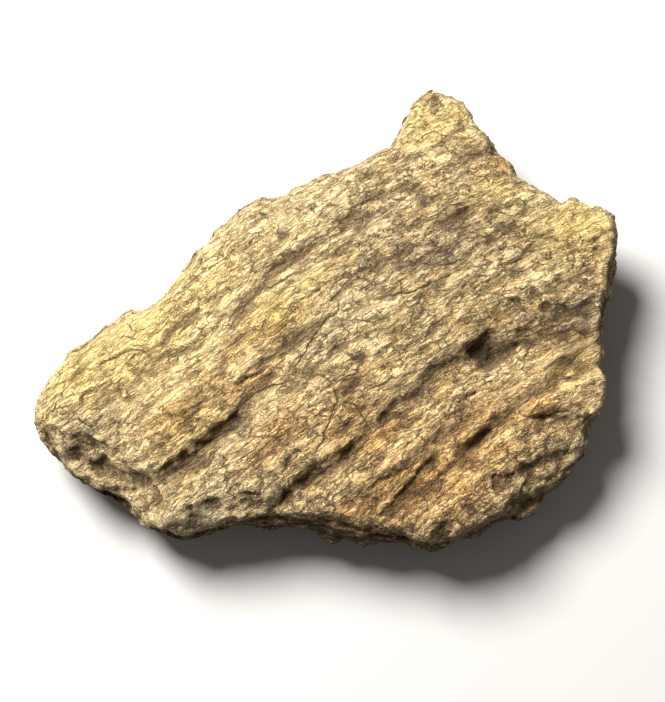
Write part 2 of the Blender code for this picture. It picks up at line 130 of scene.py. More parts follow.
LOWER_LEFT_EDGE = Edge(
    corners=(
        (-16.0, -41.0), (-20.4, -41.6), (-24.6, -42.8), (-28.6, -43.8), (-32.0, -42.6), (-36.0, -41.8),
        (-37.8, -40.0),
    ),
    rounding=1.6, belly=0.2, lift=5.0,
)
LEFT_BREAK = Edge(
    corners=(
        (-39.6, -38.2), (-41.0, -36.6), (-44.2, -34.8), (-47.2, -33.6), (-49.2, -31.6), (-52.8, -29.6),
        (-54.6, -27.4), (-55.8, -26.0), (-57.0, -24.0), (-58.4, -22.0),
    ),
    rounding=1.6, belly=0.3, lift=6.0,
)
OUTLINE = (
    UPPER_LEFT_EDGE,
    PEAK,
    UPPER_RIGHT_EDGE,
    RIGHT_EDGE,
    LOWER_RIGHT_EDGE,
    LOWER_EDGE,
    LOWER_LEFT_EDGE,
    LEFT_BREAK,
)
EDGE_BLEND = 4.0  # how gradually one stretch's wall turns into the next
WALL_REACH = 5.0  # how far inside the outline the wall's shape is still felt
LIFT_REACH = 2.0  # how far inside the edge the underside's rise is felt, in lifts
BEDS = ((0.22, 1.1), (0.52, -0.9), (0.78, 0.7))  # (level, step outwards) of the layers in the broken wall


class Groove(NamedTuple):
    """A channel that a blood vessel left in the bone. Its upper-left wall is steep, and its floor
    runs out gently on the lower right."""

    course: tuple  # (x, y, depth) along its bottom, from lower left to upper right
    wall: float  # width of the steep wall
    runout: float  # width of the gentle side
    step: float  # how much lower the bone stays on the gentle side


GROOVES = (
    Groove(
        course=(
            (-38.5, -35.5, 1.0), (-34.6, -33.4, 1.8), (-29.1, -29.6, 2.2), (-24.8, -26.2, 2.2),
            (-20.3, -22.9, 2.0), (-16.9, -19.6, 1.6), (-14.4, -16.2, 1.3), (-10.4, -14.4, 1.0),
            (-5.4, -11.9, 0.6), (0.0, -11.6, 0.2),
        ),
        wall=2.7, runout=6.0, step=1.3,
    ),
    Groove(
        course=(
            (-11.4, -41.2, 2.0), (-8.0, -37.4, 2.5), (-2.6, -33.2, 2.6), (4.2, -28.6, 2.1),
            (9.4, -23.8, 1.6), (13.8, -20.4, 2.0), (19.6, -15.8, 1.4), (24.6, -11.0, 1.3),
            (29.0, -7.2, 1.8), (33.0, -6.4, 2.5), (40.0, -4.8, 1.1), (47.0, -3.2, 0.5), (55.0, -1.4, 0.6),
        ),
        wall=3.2, runout=6.0, step=1.2,
    ),
    Groove(
        course=(
            (15.0, -39.0, 0.5), (22.0, -33.6, 0.9), (27.2, -29.2, 1.1), (31.6, -25.0, 1.8),
            (36.4, -21.0, 1.2), (39.6, -17.8, 1.0), (45.2, -14.6, 0.7), (50.2, -10.2, 0.4),
            (54.5, -6.6, 0.3),
        ),
        wall=2.2, runout=5.0, step=0.8,
    ),
    Groove(
        course=(
            (-26.0, -9.0, 0.0), (-18.4, -1.0, 0.7), (-15.4, 2.2, 0.9), (-11.6, 7.6, 1.2), (-6.4, 11.9, 1.3),
            (-1.2, 14.4, 1.0), (4.4, 19.6, 0.7), (10.0, 21.6, 0.4), (18.0, 24.0, 0.0),
        ),
        wall=2.6, runout=5.0, step=0.0,
    ),
    Groove(
        course=(
            (33.4, -3.6, 1.4), (36.0, 0.4, 1.1), (41.0, 2.0, 1.0), (47.0, 2.8, 1.7), (52.0, 1.8, 1.5),
            (58.4, 3.0, 1.3),
        ),
        wall=2.6, runout=3.0, step=0.0,
    ),
    Groove(
        course=(
            (40.6, -20.6, 0.5), (45.0, -20.6, 1.2), (49.0, -20.0, 1.4), (55.0, -20.2, 1.4),
        ),
        wall=1.8, runout=4.0, step=1.1,
    ),
)

UNDERSIDE_GROOVES = (
    Groove(
        course=(
            (-21.0, -37.0, 1.0), (-9.0, -26.0, 1.6), (6.0, -14.0, 1.9), (20.0, -3.0, 1.7), (34.0, 6.0, 1.3),
            (53.0, 13.0, 0.7),
        ),
        wall=2.4, runout=5.0, step=0.7,
    ),
    Groove(
        course=(
            (-52.0, -12.0, 0.8), (-36.0, -4.0, 1.3), (-22.0, 7.0, 1.5), (-8.0, 17.0, 1.2), (5.0, 24.0, 0.5),
        ),
        wall=2.2, runout=4.0, step=0.4,
    ),
)

FEET = ((-33.0, -22.0), (33.0, -21.0), (15.0, 25.0), (-6.0, 3.0))  # where the underside rests, in plan
FOOT_SIZE = 9.0


class Hollow(NamedTuple):
    """A rounded hollow in the upper face."""

    place: tuple  # its middle, in plan
    along: float  # half its length, along the fibres
    across: float  # half its width
    depth: float


HOLLOWS = (
    Hollow((34.0, -7.4), 4.4, 3.3, 2.2),
    Hollow((-51.4, -27.2), 3.6, 1.7, 2.4),
    Hollow((16.2, -35.0), 5.5, 3.0, 0.9),
    Hollow((32.4, -24.4), 2.6, 1.2, 1.2),
    Hollow((28.6, 22.6), 2.2, 1.1, 1.2),
    Hollow((33.0, 34.8), 2.4, 1.5, 1.3),
    Hollow((5.8, -14.4), 3.2, 1.5, 0.9),
    Hollow((-44.4, -28.4), 4.0, 1.6, 1.7),
    Hollow((-38.0, -33.8), 3.6, 1.5, 1.2),
    Hollow((47.4, 2.6), 3.0, 1.6, 1.0),
    Hollow((8.0, 20.6), 4.0, 1.8, 0.6),
    Hollow((42.2, -37.6), 4.0, 1.8, 2.6),
    Hollow((24.6, -43.9), 3.8, 2.2, 2.8),
)


class Swelling(NamedTuple):
    """A long low swelling of the upper face between the grooves."""

    place: tuple  # its middle, in plan
    along: float  # half its length, along the fibres
    across: float  # half its width
    height: float


SWELLINGS = (
    Swelling((-38.0, -20.0), 12.0, 5.5, 1.1),
    Swelling((-22.0, -13.5), 9.0, 4.0, 0.8),
    Swelling((-18.5, -31.0), 10.0, 4.5, 1.0),
    Swelling((-2.0, -20.5), 8.0, 4.2, 1.5),
    Swelling((10.0, -12.0), 8.0, 4.0, 1.0),
    Swelling((-7.0, 0.5), 8.5, 4.0, 0.9),
    Swelling((20.0, -25.0), 8.0, 3.6, 1.0),
    Swelling((44.0, -11.0), 7.0, 3.0, 0.8),
    Swelling((-18.0, 11.0), 10.0, 4.5, 0.9),
    Swelling((24.0, 39.5), 6.0, 5.0, 1.3),
    Swelling((54.5, 18.0), 5.0, 4.0, 1.2),
)

RIMS = (
    Swelling((-51.0, -31.4), 1.6, 3.4, 1.9),
    Swelling((-44.6, -36.8), 1.8, 3.8, 1.7),
    Swelling((-36.0, -41.6), 3.0, 2.0, 1.2),
)  # what still stands up along the outer edge of the broken left end


class Fracture(NamedTuple):
    """A rough plane that broke off the upper face's edge, falling away from its crest line."""

    crest: tuple  # a point of the crest line, in plan
    height: float  # the height of the plane there
    facing: float  # which way it falls, in degrees from +X
    fall: float  # how steeply, in degrees
    half_length: float  # half the length of the crest line


FRACTURES = (
    Fracture(crest=(-44.6, -27.4), height=21.6, facing=-118.0, fall=47.0, half_length=13.0),
    Fracture(crest=(-39.0, -41.0), height=20.2, facing=-152.0, fall=40.0, half_length=5.0),
    Fracture(crest=(49.5, -26.5), height=18.4, facing=-52.0, fall=24.0, half_length=15.0),
    Fracture(crest=(-22.0, -40.6), height=19.4, facing=-82.0, fall=45.0, half_length=10.0),
    Fracture(crest=(37.6, 32.8), height=21.5, facing=42.0, fall=42.0, half_length=3.2),
    Fracture(crest=(24.0, 43.0), height=23.6, facing=62.0, fall=14.0, half_length=9.0),
)


class Chip(NamedTuple):
    """A flat break that took a piece off the wall's lower part."""

    point: tuple  # a point on the break
    facing: float  # which way it faces in plan, in degrees from +X
    tilt: float  # how far it faces down, in degrees


CHIPS = (
    Chip(point=(-20.0, 20.0, 7.0), facing=128.0, tilt=38.0),
    Chip(point=(-48.0, -6.0, 8.0), facing=140.0, tilt=30.0),
    Chip(point=(4.0, 31.0, 8.0), facing=104.0, tilt=46.0),
    Chip(point=(24.0, 49.5, 6.0), facing=80.0, tilt=40.0),
    Chip(point=(40.0, 30.0, 5.0), facing=52.0, tilt=28.0),
    Chip(point=(58.0, 12.0, 7.0), facing=6.0, tilt=34.0),
    Chip(point=(56.0, -16.0, 8.0), facing=-22.0, tilt=24.0),
    Chip(point=(44.0, -37.0, 6.0), facing=-50.0, tilt=36.0),
    Chip(point=(22.0, -44.5, 7.0), facing=-88.0, tilt=30.0),
    Chip(point=(-28.0, -42.5, 7.0), facing=-96.0, tilt=34.0),
    Chip(point=(-50.0, -30.0, 8.0), facing=-128.0, tilt=32.0),
    Chip(point=(-58.0, -22.0, 9.0), facing=176.0, tilt=30.0),
)


class Unevenness(NamedTuple):
    """Noise that raises and lowers a surface."""

    height: float
    size: float  # across its lumps
    octaves: int = 3
    start: float = 0.0  # where in the noise it starts, so that no two surfaces look alike


# The upper face
CREST = (4.0, 2.0)  # where the crown is highest, along the fibres and across them
CROWN_FALL_UPHILL = 0.0052  # how fast the crown curves down towards the peak, per mm
CROWN_SLOPE = 0.040  # how steeply it slopes down towards the lower edge
CROWN_FALL_DOWNHILL = 0.0009  # how fast it curves down there as well
CROWN_FALL_ENDS = 0.0011  # how fast it curves down towards the two ends
FACE_SWELL = Unevenness(1.1, 19.0, start=40.0)
FACE_FIBRES = Unevenness(0.8, 4.2)
FACE_LUMPS = Unevenness(1.1, 6.5)
SMALL_FACE_LUMPS = Unevenness(0.45, 3.6, start=50.0)
BEND_IN_X = Unevenness(1.3, 9.0, start=60.0)
BEND_IN_Y = Unevenness(1.3, 9.0, start=-60.0)
FIBRE_LENGTH = 3.2  # how many times as long as wide the fibres are
LUMP_LENGTH = 1.9  # the same for the rounded lumps
LUMP_MIDDLE = 0.45  # how high a lump's middle stands, in lump sizes
LUMP_STEP = 0.5  # how much lumps differ in height
LUMP_SPREAD = 1.7  # how far apart in the noise neighbouring lumps take their steps from
STEEP_SHARE = 0.62  # how much of a groove's depth its steep wall has, and its shoulder the rest
SHOULDER_REACH = 3.5  # how far a groove's shoulder reaches, in wall widths
STEP_START = 0.6  # how far onto a groove's gentle side its step is whole
STEP_REACH = 16.0  # how far from the groove its step is still felt

# The breaks
FRACTURE_HACKLE = Unevenness(1.4, 6.0, octaves=4, start=90.0)
FRACTURE_FLARE = 1.1  # how steeply a fracture runs out past the ends of its crest line
CHIP_HACKLE = Unevenness(1.3, 7.0, octaves=4, start=110.0)
CHIP_SHARE = 0.92  # how much of the bone beyond a chip's plane is gone

# The wall
WALL_SWELL = Unevenness(1.5, 13.0)
WALL_LUMPS = Unevenness(1.0, 5.0, start=30.0)
BED_WANDER = Unevenness(0.09, 18.0, start=70.0)  # in levels
BED_EDGE = 0.05  # half the height of a layer's edge, in levels
MOST_OUTWARDS = 0.5  # how much further than its belly the wall's relief may stand out

# The underside
UNDERSIDE_HEIGHT = 1.5  # its middle height, where it isn't worn flat
UNDERSIDE_SWELL = Unevenness(1.5, 24.0)
UNDERSIDE_FIBRES = Unevenness(0.9, 5.0)
UNDERSIDE_FIBRE_LENGTH = 3.0
UNDERSIDE_LUMPS = Unevenness(1.5, 7.5, start=200.0)
FOOT_DEPTH = 4.0  # how far the underside is drawn down at its feet
LEAST_THICKNESS = 2.0


def lerp(a, b, share):
    return a + (b - a) * share


def smooth_step(low, high, value):
    share = np.clip((value - low) / (high - low), 0.0, 1.0)
    return share * share * (3.0 - 2.0 * share)


def rough(points, size, octaves=3):
    """Fractal noise about 0, one value for each point, with lumps about size across."""
    scaled = np.asarray(points) / size
    return np.array([noise.fractal(Vector(p), 1.0, 2.0, octaves) for p in scaled])


def uneven(points, kind):
    """How far this unevenness raises each point."""
    return kind.height * rough(points + kind.start, kind.size, kind.octaves)


def at_height(plan, height=0.0):
    """The plan points, all at one height."""
    return np.column_stack([plan, np.full(len(plan), height)])


def outline_corners():
    """The outline's corners, and for each corner its edge's rounding, belly and lift and its way out."""
    corners, sizes = [], []
    for edge in OUTLINE:
        corners.extend(edge.corners)
        sizes.extend([edge[1:]] * len(edge.corners))
    corners = np.array(corners)
    past = np.roll(corners, -1, axis=0) - np.roll(corners, 1, axis=0)
    return corners, np.column_stack([sizes, -past[:, 1], past[:, 0]])


def near_polyline(plan, line, is_closed=False):
    """Each plan point's distance to the line, the nearest point on it, the number of the segment
    that holds it, the share of the way along that segment, and the side: 1 on its left."""
    starts = line if is_closed else line[:-1]
    ends = np.roll(line, -1, axis=0) if is_closed else line[1:]
    best = np.full(len(plan), np.inf)
    foot = np.zeros_like(plan)
    segment = np.zeros(len(plan), int)
    share = np.zeros(len(plan))
    side = np.ones(len(plan))
    for i, (a, b) in enumerate(zip(starts, ends)):
        way = b - a
        along = np.clip((plan - a) @ way / (way @ way), 0.0, 1.0)
        near = a + along[:, None] * way
        gap = np.hypot(*(plan - near).T)
        closer = gap < best
        best = np.where(closer, gap, best)
        foot[closer] = near[closer]
        segment[closer] = i
        share = np.where(closer, along, share)
        turn = way[0] * (plan[:, 1] - a[1]) - way[1] * (plan[:, 0] - a[0])
        side = np.where(closer, np.where(turn >= 0.0, 1.0, -1.0), side)
    return best, foot, segment, share, side


def near_groove(plan, groove):
    """Each plan point's distance to the groove's bottom, how deep the groove is there, and the side:
    1 towards its steep wall."""
    course = np.array(groove.course)
    gap, _, segment, share, side = near_polyline(plan, course[:, :2])
    return gap, lerp(course[segment, 2], course[segment + 1, 2], share), side


def wall_sizes(foot, corners, sizes):
    """The corners' sizes at each point of the outline, blended from corner to corner."""
    blended = np.zeros((len(foot), sizes.shape[1]))
    total = np.zeros(len(foot))
    for corner, size in zip(corners, sizes):
        weight = np.exp(-((foot - corner) ** 2).sum(axis=1) / EDGE_BLEND**2) + 1e-12
        blended += weight[:, None] * size
        total += weight
    return (blended / total[:, None]).T


def fibre_frame(plan):
    """How far each plan point lies along the fibres, and across them towards the upper left."""
    x, y = plan.T
    along = x * math.cos(FIBRE_ANGLE) + y * math.sin(FIBRE_ANGLE)
    across = y * math.cos(FIBRE_ANGLE) - x * math.sin(FIBRE_ANGLE)
    return along, across + FIBRE_BEND * np.maximum(along, 0.0) ** 2


def crown(plan):
    """The smooth swell of the upper face, highest along its middle."""
    along, across = fibre_frame(plan)
    uphill = np.maximum(across - CREST[1], 0.0)
    downhill = np.maximum(CREST[1] - across, 0.0)
    height = CROWN_HEIGHT - CROWN_FALL_UPHILL * uphill**2
    height = height - CROWN_SLOPE * downhill - CROWN_FALL_DOWNHILL * downhill**2
    return height - CROWN_FALL_ENDS * (along - CREST[0]) ** 2


def groove_relief(plan, groove):
    """How far the groove lowers each plan point."""
    gap, depth, side = near_groove(plan, groove)
    steep = 1.0 - smooth_step(0.0, groove.wall, gap)
    shoulder = 1.0 - smooth_step(0.0, SHOULDER_REACH * groove.wall, gap)
    gentle = 1.0 - smooth_step(0.0, groove.runout, gap)
    channel = np.where(side > 0.0, STEEP_SHARE * steep + (1.0 - STEEP_SHARE) * shoulder, gentle)
    signed = np.where(side > 0.0, gap, -gap)
    step = groove.step * (1.0 - smooth_step(-STEP_START, groove.wall, signed))
    share_of_depth = depth / max(corner[2] for corner in groove.course)
    return depth * channel + share_of_depth * step * np.exp(-((gap / STEP_REACH) ** 2))


def mound(plan, form):
    """1 at the middle of a hollow, a swelling or a stain, fading to 0 around it."""
    along, across = fibre_frame(plan)
    middle_along, middle_across = fibre_frame(np.array([form.place]))
    reach = ((along - middle_along) / form.along) ** 2 + ((across - middle_across) / form.across) ** 2
    return np.exp(-reach)


def fracture_plane(plan, fracture):
    """The height of a fracture's plane, far above the face where the fracture doesn't reach."""
    facing = math.radians(fracture.facing)
    outwards = np.array([math.cos(facing), math.sin(facing)])
    sideways = np.array([-outwards[1], outwards[0]])
    offset = plan - np.array(fracture.crest)
    beyond = offset @ outwards
    past_end = np.maximum(np.abs(offset @ sideways) - fracture.half_length, 0.0)
    return fracture.height - math.tan(math.radians(fracture.fall)) * beyond + FRACTURE_FLARE * past_end


def lumpy(plan, kind):
    """How far this unevenness raises each plan point as rounded lumps, drawn out along the fibres and
    each a little up or down from its neighbours."""
    along, across = fibre_frame(plan + kind.start)
    cells = np.column_stack([along / LUMP_LENGTH, across, np.zeros(len(plan))]) / kind.size
    heights = []
    for place in cells:
        distances, middles = noise.voronoi(Vector(place))
        heights.append(LUMP_MIDDLE - distances[0] + LUMP_STEP * noise.noise(middles[0] * LUMP_SPREAD))
    return kind.height * np.array(heights)


def bent_plan(plan):
    """The plan points pushed about a little, so that a shape laid on them has no smooth rim."""
    flat = at_height(plan)
    return plan + np.column_stack([uneven(flat, BEND_IN_X), uneven(flat, BEND_IN_Y)])


def whole_face(plan):
    """The height of the upper face over each plan point, before anything broke off its edges."""
    along, across = fibre_frame(plan)
    fibrous = np.column_stack([along / FIBRE_LENGTH, across, np.zeros(len(plan))])
    bent = bent_plan(plan)
    height = crown(plan)
    height += uneven(at_height(plan), FACE_SWELL) + uneven(fibrous, FACE_FIBRES)
    height += lumpy(bent, FACE_LUMPS) + lumpy(bent, SMALL_FACE_LUMPS)
    for groove in GROOVES:
        height -= groove_relief(bent, groove)
    for swelling in SWELLINGS:
        height += swelling.height * mound(bent, swelling)
    return height


def break_height(plan):
    """The height of the lowest fracture over each plan point, far up where there is none."""
    planes = [fracture_plane(plan, fracture) for fracture in FRACTURES]
    return np.min(planes, axis=0) + uneven(at_height(plan), FRACTURE_HACKLE)


def upper_face(plan, inside, rounding):
    """The height of the upper face over each plan point."""
    height = np.minimum(whole_face(plan), break_height(plan))
    bent = bent_plan(plan)
    for rim in RIMS:
        height += rim.height * mound(bent, rim)
    for hollow in HOLLOWS:
        height -= hollow.depth * mound(bent, hollow)
    turned = np.clip(1.0 - inside / rounding, 0.0, 1.0)
    return height - rounding * (1.0 - np.sqrt(1.0 - turned**2 + 1e-9))


def underside(plan, inside, lift):
    """The height of the underside, worn flat on the plane z = 0 at its feet."""
    along, across = fibre_frame(plan)
    fibrous = at_height(np.column_stack([along / UNDERSIDE_FIBRE_LENGTH, across]), 30.0)
    height = UNDERSIDE_HEIGHT + uneven(at_height(plan, 7.0), UNDERSIDE_SWELL)
    height = height + uneven(fibrous, UNDERSIDE_FIBRES)
    height -= lumpy(plan, UNDERSIDE_LUMPS)
    for groove in UNDERSIDE_GROOVES:
        height += groove_relief(plan, groove)
    for foot in FEET:
        height -= FOOT_DEPTH * np.exp(-((plan - foot) ** 2).sum(axis=1) / FOOT_SIZE**2)
    rise = np.clip(1.0 - inside / (LIFT_REACH * lift), 0.0, 1.0)
    return np.maximum(height + lift * rise**2, 0.0)


def wall_relief(foot, level):
    """How far the broken wall stands out at each point of it: lumps, facets and the bone's layers."""
    place = np.column_stack([foot, level * BLANK_HEIGHT])
    relief = uneven(place, WALL_SWELL) + uneven(place, WALL_LUMPS)
    for bed, step in BEDS:
        edge = bed + uneven(place, BED_WANDER)
        relief += step * smooth_step(-BED_EDGE, BED_EDGE, level - edge) - 0.5 * step
    return relief


def chipped(points, chip):
    """The points, with those beyond a break brought back to its hackly plane."""
    facing, tilt = math.radians(chip.facing), math.radians(chip.tilt)
    normal = np.array([math.cos(facing) * math.cos(tilt), math.sin(facing) * math.cos(tilt), -math.sin(tilt)])
    beyond = np.maximum((points - np.array(chip.point)) @ normal + uneven(points, CHIP_HACKLE), 0.0)
    return points - CHIP_SHARE * beyond[:, None] * normal


def formed(blank):
    """The blank's points, moved onto the fragment's faces and walls."""
    plan, level = blank[:, :2], blank[:, 2] / BLANK_HEIGHT
    corners, sizes = outline_corners()
    inside, foot, _, _, _ = near_polyline(plan, corners, is_closed=True)
    rounding, belly, lift, out_x, out_y = wall_sizes(foot, corners, sizes)
    outwards = np.column_stack([out_x, out_y]) / np.hypot(out_x, out_y)[:, None]
    felt = np.clip(1.0 - inside / WALL_REACH, 0.0, 1.0) ** 2
    stand_out = np.minimum(wall_relief(foot, level), MOST_OUTWARDS + belly)
    swell = belly * np.sin(math.pi * np.clip(level, 0.0, 1.0)) + stand_out * (1.0 - level**3)
    bottom = underside(plan, inside, lift)
    top = np.maximum(upper_face(plan, inside, rounding), bottom + LEAST_THICKNESS)
    height = lerp(bottom, top, level)
    points = np.column_stack([plan + outwards * (felt * swell)[:, None], height])
    for chip in CHIPS:
        points = chipped(points, chip)
    points[:, 2] = np.where(level < 0.5, np.maximum(points[:, 2], 0.0), points[:, 2])
    return points + (*PLAN_SHIFT, 0.0)


def evaluated_mesh(obj):
    bpy.context.view_layer.update()
    return bpy.data.meshes.new_from_object(obj.evaluated_get(bpy.context.evaluated_depsgraph_get()))


def flat_blank(collection):
    """The outline extruded to a flat slab on z = 0, as an object."""
    corners, _ = outline_corners()
    curve = bpy.data.curves.new("blank_outline", "CURVE")
    curve.dimensions = "2D"
    curve.fill_mode = "BOTH"
    curve.extrude = BLANK_HEIGHT / 2.0
    spline = curve.splines.new("POLY")
    spline.points.add(len(corners) - 1)
    for point, (x, y) in zip(spline.points, corners):
        point.co = (x, y, 0.0, 1.0)
    spline.use_cyclic_u = True
    outline = bpy.data.objects.new("blank_outline", curve)
    collection.objects.link(outline)
    slab = bpy.data.objects.new(NODE, evaluated_mesh(outline))
    bpy.data.objects.remove(outline)
    collection.objects.link(slab)
    slab.data.transform(Matrix.Translation((0.0, 0.0, BLANK_HEIGHT / 2.0)))
    return slab


def with_modifier(obj, name, kind, **settings):
    """The object, with its mesh as this modifier leaves it."""
    modifier = obj.modifiers.new(name, kind)
    for setting, value in settings.items():
        setattr(modifier, setting, value)
    mesh = evaluated_mesh(obj)
    obj.modifiers.clear()
    obj.data = mesh
    return obj


def points_of(mesh):
    points = np.empty(len(mesh.vertices) * 3, np.float32)
    mesh.vertices.foreach_get("co", points)
    return points.reshape(-1, 3).astype(float)


def move_points(mesh, points):
    mesh.vertices.foreach_set("co", points.astype(np.float32).ravel())
    mesh.update()


# The skin of the bone. A pair of numbers is where a share starts to change and where it is done.
UPPER_LEVELS = (0.5, 0.9)  # the levels over which a point comes to belong to the upper face
WALL_SKIN = (0.4, 2.5)  # how far inside the outline the broken wall's skin fades out
WALL_TOP = (0.93, 0.99)  # the levels over which the wall's skin gives way to the face's
BREAK_EDGE = (-0.3, 0.9)  # how far under the whole face a break's skin comes in
DIRT_AND_SHADE_DEPTH = (0.2, 2.8)  # the depths over which a groove comes to hold dirt and painted shade
DIRT_AND_SHADE_MIDDLE = 0.15  # how much of a groove's darkened width is dark through and through
DIRT_AND_SHADE_UPHILL = 1.2  # how far above its steep wall a groove is darkened with dirt and painted shade
DIRT_AND_SHADE_DOWNHILL = 2.0  # how far up its gentle side
FIBRES_WORN = 0.45  # the share of the fibres' relief that is gone where the bone is worn
FIBRES_CRUMBLED = 0.5  # and where it is crumbly
FLAKES_WORN = 0.6  # the same for the flakes and creases
FLAKES_CRUMBLED = 0.6
FLAKES_IN_GROOVES = 0.5  # and in the deep grooves
CREASE_EDGE = 0.11  # half the width of a crease, in the noise that draws it
CREASED_SHARE = (-0.10, 0.15)  # the noise levels over which a part comes to have creases
FLAKE_EDGE = 0.14  # half the share of a flake's step that its edge takes up
LAYER_EDGE = 0.2  # the same for a layer of the broken bone
LAYER_DEPTH = 0.5  # the step from layer to layer, in break depths
LAYER_SHAPE = (8.0, 8.0, 1.4)  # how long, wide and thick the layers are to each other
CLOSE_ROUNDS = 24  # how often the mesh is smoothed to find the surface that a pit lies in
WIDE_ROUNDS = 110  # and how often more to find the one that a hollow lies in
CRACK_REACH = 1.4  # how far from a crack the bone's finish still knows of it
CRACK_FADE = (0.5, 1.1)  # how far from a crack its dirt fades out
CRACK_ENDS = (0.02, 0.98)  # the shares of a crack's course that its depth is taken between
# Painted shade low on the front walls, which face away from the key light
FACING_FRONT = (0.2, 0.65)  # how squarely a wall faces the front, away from the key light, to be given painted shade
FRONT_WALL_SHADE_TOP = (0.75, 0.98)  # the levels over which that painted shade fades out
FRONT_WALL_SHADE_FRONT = (-20.0, -32.0)  # the places along Y over which it comes in
FRONT_WALL_SHADE = 1.4  # how dark it is

STRANDS = Unevenness(0.9, 1.25, octaves=2)  # in fibre depths
ROPES = Unevenness(0.9, 2.6, octaves=2, start=90.0)  # the same
FOLDS = Unevenness(1.0, 3.4, start=20.0)
CREASED_PARTS = Unevenness(1.0, 9.0, octaves=2, start=55.0)
FLAKES = Unevenness(3.2, 7.5, octaves=4, start=50.0)  # in steps
KNOBS = Unevenness(1.0, 3.6, start=180.0)  # in crumb depths
SMALL_KNOBS = Unevenness(0.6, 1.6, octaves=2, start=190.0)  # the same
HACKLE = Unevenness(0.4, 3.0, octaves=4, start=140.0)  # in break depths
LAYERS = Unevenness(2.0, 1.6, octaves=2, start=160.0)  # in steps
WALL_ROUGHNESS = Unevenness(1.0, 2.6, start=220.0)  # in wall depths
STRAND_LENGTH = 3.2  # how many times as long as wide the strands are
ROPE_LENGTH = 3.0  # the same for the ropes, and so on
FOLD_LENGTH = 2.6
FLAKE_LENGTH = 2.2


class Bend(NamedTuple):
    """How places are pushed about, so that nothing laid on them runs straight."""

    size: float  # over how far the direction of the push changes
    amount: float  # how far the strongest push goes


WIDE_BEND = Bend(7.0, 1.6)
TIGHT_BEND = Bend(2.0, 0.55)
CRACK_BEND = Bend(2.2, 0.5)
DIRT_AND_SHADE_BEND = Bend(3.0, 0.9)


class Stain(NamedTuple):
    """A patch where the bone took up another mineral, or is worn, crumbly or dirty. The pale patches also
    paint light on the bone, and the shade patches paint shade.
    """

    place: tuple  # its middle, in plan
    along: float  # half its length, along the fibres
    across: float  # half its width
    strength: float


